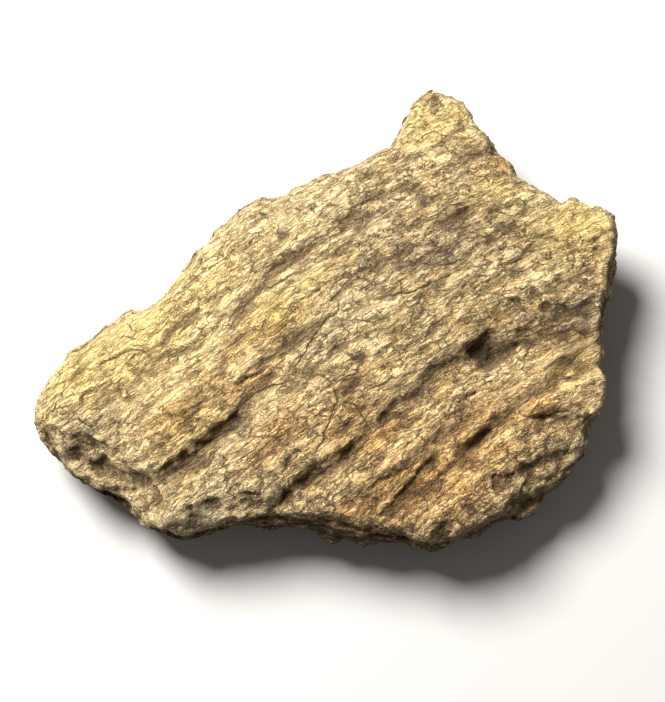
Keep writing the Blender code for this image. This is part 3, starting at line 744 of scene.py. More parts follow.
STAINS = {
    "ochre": (
        Stain((-38.0, -4.0), 26.0, 11.0, 0.75), Stain((-9.5, 0.5), 10.0, 5.0, 1.0),
        Stain((-50.0, -12.0), 9.0, 6.0, 0.9), Stain((-27.0, -19.0), 9.0, 6.0, 0.6),
        Stain((24.0, 42.0), 9.0, 7.0, 0.7), Stain((52.0, 19.0), 9.0, 6.0, 0.9),
        Stain((-2.0, 7.0), 8.0, 3.0, 0.7), Stain((36.0, 27.0), 7.0, 4.0, 0.8),
        Stain((52.0, -9.0), 8.0, 5.0, 0.5),
    ),
    "rust": (
        Stain((24.0, -30.0), 28.0, 10.0, 0.9), Stain((-31.0, -21.5), 7.0, 4.0, 0.6),
        Stain((-9.0, -24.0), 9.0, 4.0, 0.8), Stain((18.0, -34.0), 6.0, 4.5, 1.0),
        Stain((28.0, -35.0), 7.0, 5.0, 0.9), Stain((44.5, -18.0), 6.0, 3.5, 1.0),
        Stain((12.0, -25.0), 8.0, 3.5, 0.9), Stain((37.0, 33.0), 3.5, 2.5, 1.0),
        Stain((-12.0, -4.0), 6.0, 2.5, 0.5), Stain((-14.0, -13.0), 10.0, 3.0, 0.6),
        Stain((2.0, -43.0), 9.0, 4.0, 1.0), Stain((56.0, 10.0), 6.0, 4.0, 0.2),
        Stain((5.0, -21.0), 12.0, 6.0, 0.7), Stain((-20.0, -10.0), 10.0, 4.0, 0.4),
        Stain((47.0, -12.0), 10.0, 4.0, 0.4),
    ),
    "grey": (
        Stain((8.0, 12.0), 30.0, 9.0, 0.6), Stain((-21.0, -38.0), 9.0, 4.0, 0.9),
        Stain((5.0, -14.5), 4.0, 2.5, 1.0), Stain((25.0, -25.0), 6.0, 3.5, 0.5),
        Stain((34.0, -7.5), 4.5, 3.5, 1.0), Stain((26.0, 15.0), 14.0, 7.0, 0.9),
        Stain((10.0, 23.0), 12.0, 5.0, 0.6), Stain((26.0, 22.5), 4.0, 2.0, 1.0),
        Stain((32.0, 34.5), 2.5, 2.0, 0.9), Stain((-6.0, -5.0), 7.0, 2.5, 0.9),
        Stain((54.0, -26.0), 9.0, 4.0, 1.0), Stain((54.0, 1.0), 9.0, 4.0, 1.0),
        Stain((-50.0, -24.0), 10.0, 5.0, 0.9),
    ),
    "crumbly": (
        Stain((24.0, 42.0), 12.0, 11.0, 1.0), Stain((34.0, 28.0), 9.0, 7.0, 0.8),
        Stain((18.0, 28.0), 12.0, 6.0, 0.7), Stain((28.0, 14.0), 14.0, 6.0, 0.5),
        Stain((-6.0, -3.0), 10.0, 4.0, 0.6), Stain((-12.0, 19.0), 16.0, 5.0, 0.7),
        Stain((52.0, 17.0), 11.0, 9.0, 0.7), Stain((44.0, 3.0), 17.0, 7.0, 1.0),
        Stain((-45.0, -29.0), 12.0, 6.0, 1.0), Stain((-26.0, -42.0), 10.0, 5.0, 0.6),
        Stain((34.0, -38.0), 16.0, 6.0, 0.8), Stain((2.0, -20.0), 10.0, 6.0, 0.5),
    ),
    # pale patches: wear, and painted light on the parts that face the key light
    "pale": (
        Stain((-45.0, -3.0), 20.0, 8.0, 0.85), Stain((-32.0, -12.0), 14.0, 8.0, 0.8),
        Stain((-19.0, 13.5), 14.0, 6.0, 0.55), Stain((-7.0, 21.0), 13.0, 4.0, 0.9),
        Stain((-11.0, 4.0), 11.0, 5.0, 0.7), Stain((24.0, 41.0), 9.0, 8.0, 1.0),
        Stain((34.0, 27.0), 7.0, 4.0, 0.6), Stain((51.0, 20.0), 9.0, 6.0, 1.0),
        Stain((49.0, -9.0), 11.0, 4.0, 0.9), Stain((54.0, -17.0), 7.0, 4.0, 0.6),
        Stain((-22.0, -38.0), 11.0, 4.0, 0.4), Stain((-14.0, -8.0), 9.0, 4.0, 0.5),
        Stain((5.0, 0.5), 12.0, 5.0, 0.8), Stain((2.0, 16.0), 8.0, 4.0, 0.4),
        Stain((-10.0, -17.0), 9.0, 4.0, 0.6), Stain((-38.0, -34.0), 8.0, 5.0, 0.7),
        Stain((-36.0, -19.0), 12.0, 6.0, 0.9), Stain((-25.0, -3.0), 14.0, 6.0, 0.8),
        Stain((42.0, -13.0), 12.0, 4.5, 0.9), Stain((47.0, 9.0), 9.0, 4.0, 0.6),
        Stain((-42.0, -29.0), 8.0, 4.0, 0.6), Stain((-15.0, -22.0), 12.0, 4.0, 0.5),
        Stain((24.5, -24.5), 9.0, 3.0, 0.7), Stain((13.0, -17.0), 7.0, 3.0, 0.5),
        Stain((58.0, -8.0), 6.0, 4.0, 1.0), Stain((-37.0, -42.5), 8.0, 3.0, 0.7),
        Stain((-50.0, -20.0), 8.0, 4.0, 0.6),
    ),
    # shade patches: partly darker dirty bone, partly painted shadow under the lower rim and on the front wall
    "shade": (
        Stain((34.5, -4.5), 8.0, 4.5, 0.7), Stain((44.0, -0.5), 9.0, 3.0, 0.8),
        Stain((55.0, -2.0), 9.0, 4.0, 1.0), Stain((-47.0, -23.0), 9.0, 4.0, 0.25),
        Stain((54.0, -31.0), 9.0, 5.0, 0.9), Stain((47.0, -36.0), 10.0, 4.0, 0.9),
        Stain((31.0, -42.0), 9.0, 4.0, 0.8), Stain((3.0, -45.0), 12.0, 4.0, 1.0),
        Stain((18.0, -35.5), 5.0, 3.0, 0.5), Stain((5.5, -15.0), 3.0, 2.0, 0.8),
        Stain((-5.0, -4.5), 5.0, 2.0, 0.7), Stain((17.0, -17.5), 9.0, 2.2, 0.35),
        Stain((-7.0, -36.5), 7.0, 2.0, 0.6), Stain((26.0, 21.0), 6.0, 2.5, 0.7),
        Stain((25.0, 13.0), 16.0, 6.0, 0.35), Stain((32.0, 36.0), 3.0, 2.0, 0.8),
        Stain((35.0, -16.5), 6.0, 3.0, 0.4), Stain((-16.0, -44.5), 7.0, 2.5, 1.0),
        Stain((15.0, -44.0), 9.0, 3.0, 0.8), Stain((-29.0, -34.0), 7.0, 3.0, 0.35),
    ),
}


class Crack(NamedTuple):
    """A thin crack or crease in the upper face."""

    depth: float
    course: tuple  # plan points


DEEP_CRACK = 0.30  # the depths that a crack may have
PLAIN_CRACK = 0.22
FINE_CRACK = 0.15
CRACKS = (
    Crack(DEEP_CRACK, (
        (3.9, 5.0), (3.3, 3.3), (3.3, 1.6), (2.7, 0.4), (0.7, -0.8), (-0.5, -2.5), (-1.8, -4.1),
        (-3.0, -6.2), (-4.6, -8.7), (-5.4, -10.3), (-5.0, -12.7),
    )),
    Crack(PLAIN_CRACK, ((2.7, -0.0), (4.3, -1.2), (5.2, -3.7), (4.8, -4.9), (3.9, -6.2))),
    Crack(PLAIN_CRACK, ((4.3, -1.4), (7.2, -0.8), (10.5, -1.4), (13.3, -0.4), (15.8, 1.3))),
    Crack(DEEP_CRACK, ((10.5, 3.3), (13.4, 4.2), (16.2, 4.6), (19.1, 5.5), (22.0, 6.8), (25.7, 8.5))),
    Crack(FINE_CRACK, ((5.6, -5.4), (8.0, -4.5), (9.6, -4.9), (11.3, -4.1))),
    Crack(FINE_CRACK, ((3.5, -7.0), (6.4, -8.2), (8.8, -9.4))),
    Crack(PLAIN_CRACK, (
        (-18.9, -2.0), (-16.5, 0.9), (-14.5, 3.8), (-12.4, 5.5), (-9.6, 6.7), (-7.1, 8.4), (-3.8, 9.6),
    )),
    Crack(FINE_CRACK, ((-14.9, 5.1), (-12.0, 7.6), (-9.2, 11.0), (-6.7, 12.7), (-5.1, 14.4))),
    Crack(PLAIN_CRACK, ((22.0, 10.1), (25.7, 10.6), (28.6, 11.9))),
    Crack(FINE_CRACK, ((3.1, 22.0), (6.4, 23.3), (9.7, 24.6), (12.2, 25.0), (17.2, 24.5), (19.7, 25.0))),
    Crack(PLAIN_CRACK, ((44.4, -14.7), (47.8, -12.6), (50.3, -9.7), (52.8, -7.2), (55.0, -5.5))),
    Crack(DEEP_CRACK, (
        (23.8, -32.9), (27.9, -28.8), (31.6, -25.1), (35.3, -21.8), (39.4, -18.5), (41.1, -16.8),
    )),
    Crack(PLAIN_CRACK, (
        (39.5, -18.1), (41.5, -20.1), (43.1, -20.5), (46.4, -19.6), (49.4, -18.8), (51.0, -18.7),
    )),
    Crack(PLAIN_CRACK, ((46.2, -3.6), (48.7, -3.1), (51.3, -2.2), (53.7, -2.6), (54.1, -4.2))),
    Crack(PLAIN_CRACK, ((33.5, 2.8), (37.2, 4.1), (39.7, 2.9), (42.2, 2.1))),
    Crack(PLAIN_CRACK, ((44.7, 3.5), (48.0, 3.5), (50.9, 1.5), (53.0, 0.7))),
    Crack(FINE_CRACK, ((23.0, -38.1), (25.0, -38.5), (27.0, -39.7))),
    Crack(DEEP_CRACK, ((21.3, -42.9), (24.6, -41.7), (27.8, -41.3), (29.1, -42.9))),
    Crack(PLAIN_CRACK, (
        (-50.7, -10.0), (-47.7, -10.5), (-44.4, -8.9), (-41.6, -7.7), (-38.7, -6.6), (-36.2, -7.1),
        (-35.3, -8.3),
    )),
    Crack(FINE_CRACK, ((-42.9, -3.4), (-40.4, -3.5), (-38.3, -4.5))),
    Crack(FINE_CRACK, ((-41.0, -14.5), (-40.9, -16.9))),
    Crack(FINE_CRACK, ((-49.6, -18.4), (-48.9, -15.9), (-46.8, -14.7), (-43.5, -13.1))),
    Crack(DEEP_CRACK, (
        (-53.7, -22.4), (-51.6, -21.2), (-49.6, -20.9), (-47.4, -22.6), (-46.2, -22.6), (-45.0, -20.6),
    )),
    Crack(FINE_CRACK, ((-25.7, -16.4), (-24.5, -14.3))),
    Crack(DEEP_CRACK, (
        (-35.0, -34.9), (-30.9, -31.7), (-26.9, -28.9), (-23.7, -25.3), (-18.8, -22.9), (-15.1, -20.5),
    )),
    Crack(DEEP_CRACK, (
        (-20.8, -22.5), (-17.6, -19.2), (-13.9, -15.6), (-11.5, -14.4), (-8.3, -13.8), (-5.4, -12.5),
    )),
    Crack(DEEP_CRACK, (
        (1.9, -14.0), (3.5, -17.6), (1.9, -20.0), (0.7, -22.5), (0.3, -25.7), (-1.3, -27.3),
    )),
    Crack(PLAIN_CRACK, ((3.5, -17.6), (6.8, -18.4), (8.4, -20.8), (9.2, -22.4))),
    Crack(FINE_CRACK, ((1.5, -19.2), (-1.3, -20.5), (-3.8, -19.2))),
    Crack(FINE_CRACK, ((-3.4, -23.3), (-1.8, -22.9), (0.3, -22.1))),
    Crack(PLAIN_CRACK, ((4.3, -7.8), (7.6, -9.0), (9.2, -9.4))),
    Crack(PLAIN_CRACK, ((-3.0, -12.7), (-0.5, -11.9), (1.5, -13.1), (1.9, -14.0))),
    Crack(FINE_CRACK, ((-6.6, -16.4), (-4.6, -14.8), (-2.6, -14.0))),
    Crack(PLAIN_CRACK, ((7.6, -9.8), (6.8, -11.9), (5.2, -12.7), (3.1, -13.5))),
    Crack(PLAIN_CRACK, ((9.2, -15.1), (12.9, -13.9), (15.7, -11.8))),
    Crack(FINE_CRACK, ((-12.3, -28.9), (-12.3, -32.2), (-13.1, -35.0))),
    Crack(FINE_CRACK, ((5.1, -31.3), (5.5, -33.8), (5.5, -35.4))),
    Crack(FINE_CRACK, ((-3.4, -37.4), (-0.5, -36.6), (1.1, -37.4))),
    Crack(FINE_CRACK, ((-6.2, -27.3), (-3.8, -27.7), (-2.2, -26.9))),
)


def fibre_space(points):
    """Each point's place along the fibres, across them, and up."""
    along, across = fibre_frame(points[:, :2])
    return np.column_stack([along, across, points[:, 2]])


def bent_space(space, bend):
    """The places, each pushed a little in a direction of its own."""
    push = np.array([noise.noise_vector(Vector(p)) for p in space / bend.size])
    return space + bend.amount * push


def drawn_out(space, length):
    """The places, drawn together along the fibres, so that what is laid on them is this much longer."""
    return space / (length, 1.0, 1.0)


def terraces(height, edge):
    """The height with its slopes drawn together into steps. The edge is half the share that each slope
    takes up of its step."""
    floor = np.floor(height)
    return floor + smooth_step(0.5 - edge, 0.5 + edge, height - floor)


def cracks_near(plan):
    """Each plan point's distance to its nearest crack, that distance with a sign for the crack's side,
    and how deep the crack is there. Cracks fade out at their ends."""
    gap = np.full(len(plan), CRACK_REACH)
    signed = np.full(len(plan), CRACK_REACH)
    depth = np.zeros(len(plan))
    for crack in CRACKS:
        course = np.array(crack.course)
        near, _, segment, share, side = near_polyline(plan, course)
        way = np.clip((segment + share) / (len(course) - 1), *CRACK_ENDS)
        closer = near < gap
        gap = np.where(closer, near, gap)
        signed = np.where(closer, near * side, signed)
        depth = np.where(closer, crack.depth * np.sqrt(np.sin(math.pi * way)), depth)
    return gap, signed, depth


def stain_share(plan, kind):
    """How strong one kind of stain is at each plan point, from 0 to 1."""
    share = np.zeros(len(plan))
    for stain in STAINS[kind]:
        share = np.maximum(share, stain.strength * mound(plan, stain))
    return share


def broken_share(blank, level):
    """1 where the bone's inside shows, on the wall and on the breaks of the upper face."""
    plan = blank[:, :2]
    corners, _ = outline_corners()
    inside = near_polyline(plan, corners, is_closed=True)[0]
    wall = (1.0 - smooth_step(*WALL_SKIN, inside)) * (1.0 - smooth_step(*WALL_TOP, level))
    broken = smooth_step(*BREAK_EDGE, whole_face(plan) - break_height(plan))
    return np.maximum(wall, broken * smooth_step(*UPPER_LEVELS, level))


def groove_dirt_and_shade(plan):
    """1 along the bottom and up the steep wall of the deep grooves, and 0 away from them: dirt, and painted
    shade on the steep wall, which faces away from the key light.
    """
    dirt_and_shade = np.zeros(len(plan))
    for groove in GROOVES:
        gap, depth, side = near_groove(plan, groove)
        reach = np.where(side > 0.0, groove.wall + DIRT_AND_SHADE_UPHILL, DIRT_AND_SHADE_DOWNHILL)
        held = 1.0 - smooth_step(DIRT_AND_SHADE_MIDDLE * reach, reach, gap)
        dirt_and_shade = np.maximum(dirt_and_shade, smooth_step(*DIRT_AND_SHADE_DEPTH, depth) * held)
    return dirt_and_shade


def front_wall_shade_share(points, normals, level):
    """1 low on the walls that face the front, away from the key light: painted shade, darker towards the
    bottom.
    """
    share = smooth_step(*FACING_FRONT, -normals[:, 1]) * (1.0 - smooth_step(*FRONT_WALL_SHADE_TOP, level))
    return share * smooth_step(*FRONT_WALL_SHADE_FRONT, points[:, 1])


def crease_share(space, curly):
    """1 along the creases between folds of bone, which only some parts of it have."""
    folds = np.abs(uneven(drawn_out(curly, FOLD_LENGTH), FOLDS))
    crease = 1.0 - smooth_step(0.0, CREASE_EDGE, folds)
    return crease * smooth_step(*CREASED_SHARE, uneven(space, CREASED_PARTS))


def break_relief(points, wavy):
    """How far the broken faces stand out, with their hackle and the bone's layers, in break depths."""
    layers = terraces(uneven(bent_space(points, WIDE_BEND) / LAYER_SHAPE, LAYERS), LAYER_EDGE)
    return uneven(wavy, HACKLE) + LAYER_DEPTH * layers


def skin_relief(points, marks, sizes):
    """How far the skin stands out at each point. Worn bone is smoother, and crumbly bone is lumpy."""
    worn_and_lit, crumbly = marks["pale"], marks["crumbly"]
    space = fibre_space(points)
    wavy = bent_space(space, WIDE_BEND)
    curly = bent_space(wavy, TIGHT_BEND)
    fibres = uneven(drawn_out(curly, STRAND_LENGTH), STRANDS) + uneven(drawn_out(curly, ROPE_LENGTH), ROPES)
    kept = (1.0 - FIBRES_WORN * worn_and_lit) * (1.0 - FIBRES_CRUMBLED * crumbly)
    relief = kept * sizes.fibre_depth * fibres
    knobs = uneven(points, KNOBS) + uneven(points, SMALL_KNOBS)
    relief += crumbly * sizes.crumb_depth * knobs
    flakes = terraces(uneven(drawn_out(wavy, FLAKE_LENGTH), FLAKES), FLAKE_EDGE)
    kept = (1.0 - FLAKES_IN_GROOVES * marks["groove"]) * (1.0 - FLAKES_WORN * worn_and_lit)
    kept *= 1.0 - FLAKES_CRUMBLED * crumbly
    relief += kept * (sizes.flake_depth * flakes - sizes.crease_depth * crease_share(space, curly))
    return relief + marks["broken"] * sizes.break_depth * break_relief(points, wavy)


def surroundings(mesh, points, rounds):
    """Each point's place once the mesh is smoothed this many rounds."""
    ends = np.empty(len(mesh.edges) * 2, np.int32)
    mesh.edges.foreach_get("vertices", ends)
    one, other = ends.reshape(-1, 2).T
    total = len(points)
    neighbours = np.bincount(one, minlength=total) + np.bincount(other, minlength=total)
    around = points.astype(float)
    for _ in range(rounds):
        sums = [
            np.bincount(one, around[other, k], total) + np.bincount(other, around[one, k], total)
            for k in range(3)
        ]
        around = np.transpose(sums) / neighbours[:, None]
    return around


def normals_of(mesh):
    normals = np.empty(len(mesh.vertices) * 3, np.float32)
    mesh.vertex_normals.foreach_get("vector", normals)
    return normals.reshape(-1, 3)


def store(mesh, name, values):
    """Keeps one number or one vector for each of the mesh's points, for its finish to read."""
    is_vector = values.ndim == 2
    layer = mesh.attributes.new(name, "FLOAT_VECTOR" if is_vector else "FLOAT", "POINT")
    layer.data.foreach_set("vector" if is_vector else "value", values.astype(np.float32).ravel())


def grow_skin(mesh, sizes):
    """Gives the blank's mesh the fragment's form and raises the bone's skin on it. What it returns is
    the marks that the finish reads, by name."""
    blank = points_of(mesh)
    level = blank[:, 2] / BLANK_HEIGHT
    upper = smooth_step(*UPPER_LEVELS, level)
    points = formed(blank)
    move_points(mesh, points)
    shift = np.array((*PLAN_SHIFT, 0.0))
    places = points - shift
    marks = {kind: stain_share(places[:, :2], kind) * upper for kind in STAINS}
    marks["broken"] = broken_share(blank, level)
    marks["groove"] = groove_dirt_and_shade(bent_space(at_height(blank[:, :2]), DIRT_AND_SHADE_BEND)[:, :2]) * upper
    relief = skin_relief(places, marks, sizes)
    gap, marks["crack_side"], depth = cracks_near(bent_space(places, CRACK_BEND)[:, :2])
    marks["crack_near"] = upper * np.sqrt(depth / DEEP_CRACK) * (1.0 - smooth_step(*CRACK_FADE, gap))
    relief -= upper * depth * np.exp(-((gap / sizes.crack_width) ** 2))
    relief += marks["groove"] * sizes.wall_depth * uneven(places, WALL_ROUGHNESS)
    points += normals_of(mesh) * relief[:, None]
    points[:, 2] = np.maximum(points[:, 2], 0.0)
    move_points(mesh, points)
    normals = normals_of(mesh)
    # painted shade low on the front walls joins the shade marks
    marks["shade"] = np.maximum(marks["shade"], FRONT_WALL_SHADE * front_wall_shade_share(points, normals, level))
    close = surroundings(mesh, points, CLOSE_ROUNDS)
    wide = surroundings(mesh, close, WIDE_ROUNDS)
    marks["dip"] = ((close - points) * normals).sum(axis=1)
    marks["hollow"] = ((wide - points) * normals).sum(axis=1)
    marks["fibre_space"] = fibre_space(points - shift)
    return marks


class Value:
    """A socket of a material's nodes. Arithmetic on it adds Math nodes."""

    def __init__(self, finish, socket):
        self.finish = finish
        self.socket = socket

    def math(self, operation, *values):
        return self.finish.node("ShaderNodeMath", {"operation": operation}, dict(enumerate(values)))

    def __add__(self, other):
        return self.math("ADD", self, other)

    def __sub__(self, other):
        return self.math("SUBTRACT", self, other)

    def __rsub__(self, other):
        return self.math("SUBTRACT", other, self)

    def __mul__(self, other):
        return self.math("MULTIPLY", self, other)

    __radd__ = __add__
    __rmul__ = __mul__

    def between(self, low, high):
        """0 where this is under low, 1 where it is over high, and smooth in between."""
        sockets = {"Value": self, "From Min": low, "From Max": high}
        return self.finish.node("ShaderNodeMapRange", {"interpolation_type": "SMOOTHSTEP"}, sockets)

    def beneath(self, low, high):
        """1 where this is under low, 0 where it is over high, and smooth in between."""
        return 1.0 - self.between(low, high)

    def size(self):
        """This without its sign."""
        return self.math("ABSOLUTE", self)

    def largest(self, other):
        return self.math("MAXIMUM", self, other)

    def fold(self):
        """This noise folded about 0.5: 0 there, and near 1 at its far ends."""
        return (self * 2.0 - 1.0).size()


class Finish:
    """A new material and its nodes. Sizes in it are in millimetres of the bone."""

    def __init__(self, name):
        self.material = bpy.data.materials.new(name)
        self.material.use_nodes = True
        self.tree = self.material.node_tree
        self.shader = self.tree.nodes["Principled BSDF"]

    def node(self, kind, settings, sockets, output=0):
        """Adds a node with these settings, then these socket values or links, and gives its output."""
        node = self.tree.nodes.new(kind)
        for name, value in settings.items():
            setattr(node, name, value)
        for name, value in sockets.items():
            self.feed(node.inputs[name], value)
        return Value(self, node.outputs[output])

    def feed(self, socket, value):
        if isinstance(value, Value):
            self.tree.links.new(value.socket, socket)
        else:
            socket.default_value = value

    def stored(self, name, output="Fac"):
        return self.node("ShaderNodeAttribute", {"attribute_name": name}, {}, output)

    def noise(self, vector, size, detail=2.0, roughness=0.5):
        sockets = {"Vector": vector, "Scale": 1.0 / size, "Detail": detail, "Roughness": roughness}
        return self.node("ShaderNodeTexNoise", {}, sockets)

    def cell_edge(self, vector, size):
        sockets = {"Vector": vector, "Scale": 1.0 / size}
        return self.node("ShaderNodeTexVoronoi", {"feature": "DISTANCE_TO_EDGE"}, sockets, "Distance")

    def vector(self, operation, *values):
        return self.node("ShaderNodeVectorMath", {"operation": operation}, dict(enumerate(values)))

    def pushed(self, vector, size, amount):
        """The vector, moved up to about amount in a direction that changes over about size."""
        sockets = {"Vector": vector, "Scale": 1.0 / size, "Detail": 1.0}
        push = self.node("ShaderNodeTexNoise", {}, sockets, "Color")
        centred = self.vector("SUBTRACT", push, (0.5, 0.5, 0.5))
        return self.vector("MULTIPLY_ADD", centred, (2.0 * amount,) * 3, vector)

    def drawn(self, vector, share):
        """The vector with this share of its reach along the fibres, which draws a noise on it out."""
        return self.vector("MULTIPLY", vector, (share, 1.0, 1.0))

    def mix(self, share, colour, other, blend="MIX"):
        settings = {"data_type": "RGBA", "blend_type": blend, "clamp_factor": True}
        return self.node("ShaderNodeMix", settings, {0: share, 6: colour, 7: other}, 2)

    def bump(self, height, distance, strength):
        sockets = {"Height": height, "Distance": distance, "Strength": strength}
        return self.node("ShaderNodeBump", {}, sockets)


def colour(name, description, default):
    return FloatVectorProperty(
        name=name, description=description, default=default, size=3, min=0.0, max=1.0, subtype="COLOR"
    )


def length(name, description, default, least=0.0, most=3.0):
    """A length in millimetres, the unit of the forms."""
    return FloatProperty(name=name, description=f"{description}, mm", default=default, min=least, max=most)


class FossilSkinSizes(PropertyGroup):
    """How fine the mesh is, and how deep the bone's fine relief is."""

    most_triangles: FloatProperty(
        name="Most triangles", description="What the fine mesh is reduced to", default=190000.0, min=10000.0
    )
    face_size: length("Face size", "Spacing of the fine mesh's points", 0.38, least=0.3)
    fibre_depth: length("Fibre depth", "Height of the raised fibres", 0.15)
    flake_depth: length("Flake depth", "Step from one flake of bone to the next", 0.20)
    crumb_depth: length("Crumb depth", "Height of the knobs where the bone crumbles", 0.62)
    crease_depth: length("Crease depth", "Depth of the creases between folds", 0.22)
    crack_width: length("Crack width", "Half the width of a crack's mouth", 0.40, least=0.1)
    wall_depth: length("Groove wall depth", "Roughness of the grooves' steep walls", 0.7)
    break_depth: length("Break depth", "Relief of the hackly broken faces", 0.65)


class FossilColours(PropertyGroup):
    """The colours of the bone's minerals and of the studio."""

    bone: colour("Bone", "Most of the bone", (0.69, 0.495, 0.200))
    pale: colour("Pale bone", "Worn tops of the fibres", (0.96, 0.785, 0.430))
    umber: colour("Umber bone", "The darker patches", (0.48, 0.305, 0.098))
    # brown is also the painted shade of the low places
    brown: colour("Brown bone", "Low places and broken faces", (0.245, 0.138, 0.040))
    ochre: colour("Ochre stain", "What a yellow iron stain leaves of the bone's colour", (1.0, 0.93, 0.60))
    rust: colour("Rust stain", "What a red-brown iron stain leaves of the bone's colour", (0.98, 0.74, 0.50))
    grey: colour("Grey film", "What a grey mineral film leaves of the bone's colour", (0.78, 0.80, 0.92))
    # the dirt film is also painted shade: it darkens the under-ledges, the front wall and the groove walls
    shade: colour("Dirt film", "What thin dirt leaves of the bone's colour", (0.46, 0.415, 0.38))
    # the crevice colour is dirt, and painted shade in cracks, creases and pits too fine for the mesh to
    # shadow
    crevice: colour("Crevice", "Dirt in the cracks", (0.030, 0.018, 0.008))
    floor: colour("Floor", "The pale studio floor", (0.28, 0.28, 0.28))


class BoneFinish(Finish):
    """The weathered bone: stains, mottling, fibres and flecks, and dirt and painted shade in every crack."""

    def __init__(self, colours):
        super().__init__(SLOT)
        self.colours = colours
        self.read_marks()
        self.grow_grain()
        self.draw_fibre_lines()
        self.draw_cracks()
        self.feed(self.shader.inputs["Base Color"], self.colouring())
        self.feed(self.shader.inputs["Roughness"], 0.55 + self.grit * 0.35)
        self.feed(self.shader.inputs["Specular IOR Level"], 0.25)
        self.feed(self.shader.inputs["Normal"], self.bump(self.height(), 1.0 * MM, 1.0))

    def paint(self, name):
        return (*getattr(self.colours, name), 1.0)

    def read_marks(self):
        """Reads what the mesh stores at its points."""
        self.space = self.stored("fibre_space", "Vector")
        self.dip = self.stored("dip")
        self.hollow = self.stored("hollow")
        self.broken = self.stored("broken")
        self.groove = self.stored("groove")
        self.crumbly = self.stored("crumbly")
        self.worn_and_lit = self.stored("pale")
        # painted shade on the grooves' steep walls joins the shade marks
        self.shade = self.stored("shade").largest(self.groove * 0.4)

    def grow_grain(self):
        """Makes the noises that mottle the bone, from broad patches down to grit."""
        self.bent = self.pushed(self.space, 3.6, 0.7)
        self.curly = self.pushed(self.bent, 0.9, 0.15)
        self.patches = self.noise(self.space, 7.0, 5.0, 0.65)
        along = self.noise(self.drawn(self.curly, 0.40), 1.8, 5.0, 0.7)
        lumpy = self.noise(self.curly, 1.2, 4.0, 0.75)
        self.mottle = along + (lumpy - along) * self.crumbly
        self.pits = lumpy.beneath(0.34, 0.45) * self.crumbly
        self.grit = self.noise(self.curly, 0.34, 3.0, 0.75)
        self.flecks = self.noise(self.space, 0.24, 1.0, 0.5)
        self.veil = self.noise(self.space, 3.2, 3.0)

    def draw_fibre_lines(self):
        """Draws the dark lines between the fibres, of four widths."""
        fibres = self.drawn(self.curly, 0.26)
        self.plates = self.noise(fibres, 2.4, 4.0, 0.6).fold()
        self.folds = self.noise(fibres, 1.1, 3.0, 0.65).fold()
        self.threads = self.noise(self.drawn(self.curly, 0.40), 0.60, 2.0, 0.6).fold()
        streaks = self.noise(self.drawn(self.bent, 0.14), 1.6, 4.0, 0.65).fold()
        self.plate_line = self.plates.beneath(0.02, 0.13)
        self.fold_line = self.folds.beneath(0.02, 0.17) * self.veil.between(0.42, 0.60)
        self.thread_line = self.threads.beneath(0.02, 0.22) * self.veil.between(0.58, 0.40)
        self.streak_line = streaks.beneath(0.0, 0.13)

    def draw_cracks(self):
        """Draws the cracks that the mesh stores, and finer nets of them between those."""
        net = self.cell_edge(self.drawn(self.pushed(self.bent, 1.5, 0.5), 0.45), 2.4)
        self.hairline = net.beneath(0.01, 0.07) * self.noise(self.space, 5.0, 2.0).between(0.47, 0.58)
        crazing = self.cell_edge(self.drawn(self.curly, 0.36), 1.1)
        self.crazed = crazing.beneath(0.02, 0.15) * self.veil.between(0.46, 0.60)
        wobble = self.noise(self.space, 0.8, 2.0) - 0.5
        gap = (self.stored("crack_side") + wobble * 0.8).size()
        self.crack = gap.beneath(0.06, 0.30) * self.stored("crack_near")

    def coats(self):
        """What lies on the umber bone, from the bottom up: how much of it there is, and its colour."""
        # painted light where the pale patches are, and painted shade where the shade patches are
        light = self.worn_and_lit * 0.25 - self.shade * 0.12
        return (
            ((self.patches + light).between(0.38, 0.60), "bone"),
            ((self.mottle + light).between(0.40, 0.68) * 0.8, "pale"),
            (self.broken * (0.55 - self.worn_and_lit * 0.35), "brown"),
            (self.threads.between(0.20, 0.50) * 0.35, "pale"),
            (self.grit.between(0.54, 0.63) * (0.95 - self.shade * 0.5), "pale"),
            (self.grit.beneath(0.36, 0.46) * 0.85, "brown"),
            ((self.dip * -1.0).between(0.0, 0.16) * 0.6, "pale"),
            # painted shade in the broad hollows
            (self.hollow.between(0.10, 0.80) * 0.35, "brown"),
            (self.streak_line * 0.7, "brown"),
            # dark lines, crazing and pits: painted shade of the fine creases, with dirt in them
            (self.fold_line.largest(self.plate_line) * (0.80 - self.worn_and_lit * 0.45), "crevice"),
            (self.thread_line * 0.45, "crevice"),
            (self.pits * 0.65, "crevice"),
            (self.crazed * (0.55 - self.worn_and_lit * 0.45), "crevice"),
            (self.flecks.between(0.60, 0.68) * (0.6 - self.shade * 0.5), "pale"),
            (self.flecks.between(0.42, 0.34) * 0.5, "brown"),
        )

    def colouring(self):
        """The bone's colour: its coats, the stains that tint them, and dirt and painted shade over all."""
        base = self.paint("umber")
        for share, name in self.coats():
            base = self.mix(share, base, self.paint(name))
        for name in ("grey", "rust", "ochre"):
            stained = self.stored(name) * self.mottle.between(0.22, 0.55)
            base = self.mix(stained, base, self.paint(name), "MULTIPLY")
        # the dirt film: dirt, and painted shade on the front wall, under the rim and in the grooves
        base = self.mix(self.shade * self.mottle.between(0.85, 0.38), base, self.paint("shade"), "MULTIPLY")
        # painted shade and dirt: dark in the pits, along the grooves, and in the cracks and hairlines
        dirt_and_shade = (self.dip.between(0.05, 0.26) * 0.5).largest(self.groove * (0.55 - self.mottle))
        dirt_and_shade = dirt_and_shade.largest(self.crack * 0.97).largest(self.hairline * 0.75)
        return self.mix(dirt_and_shade, base, self.paint("crevice"))

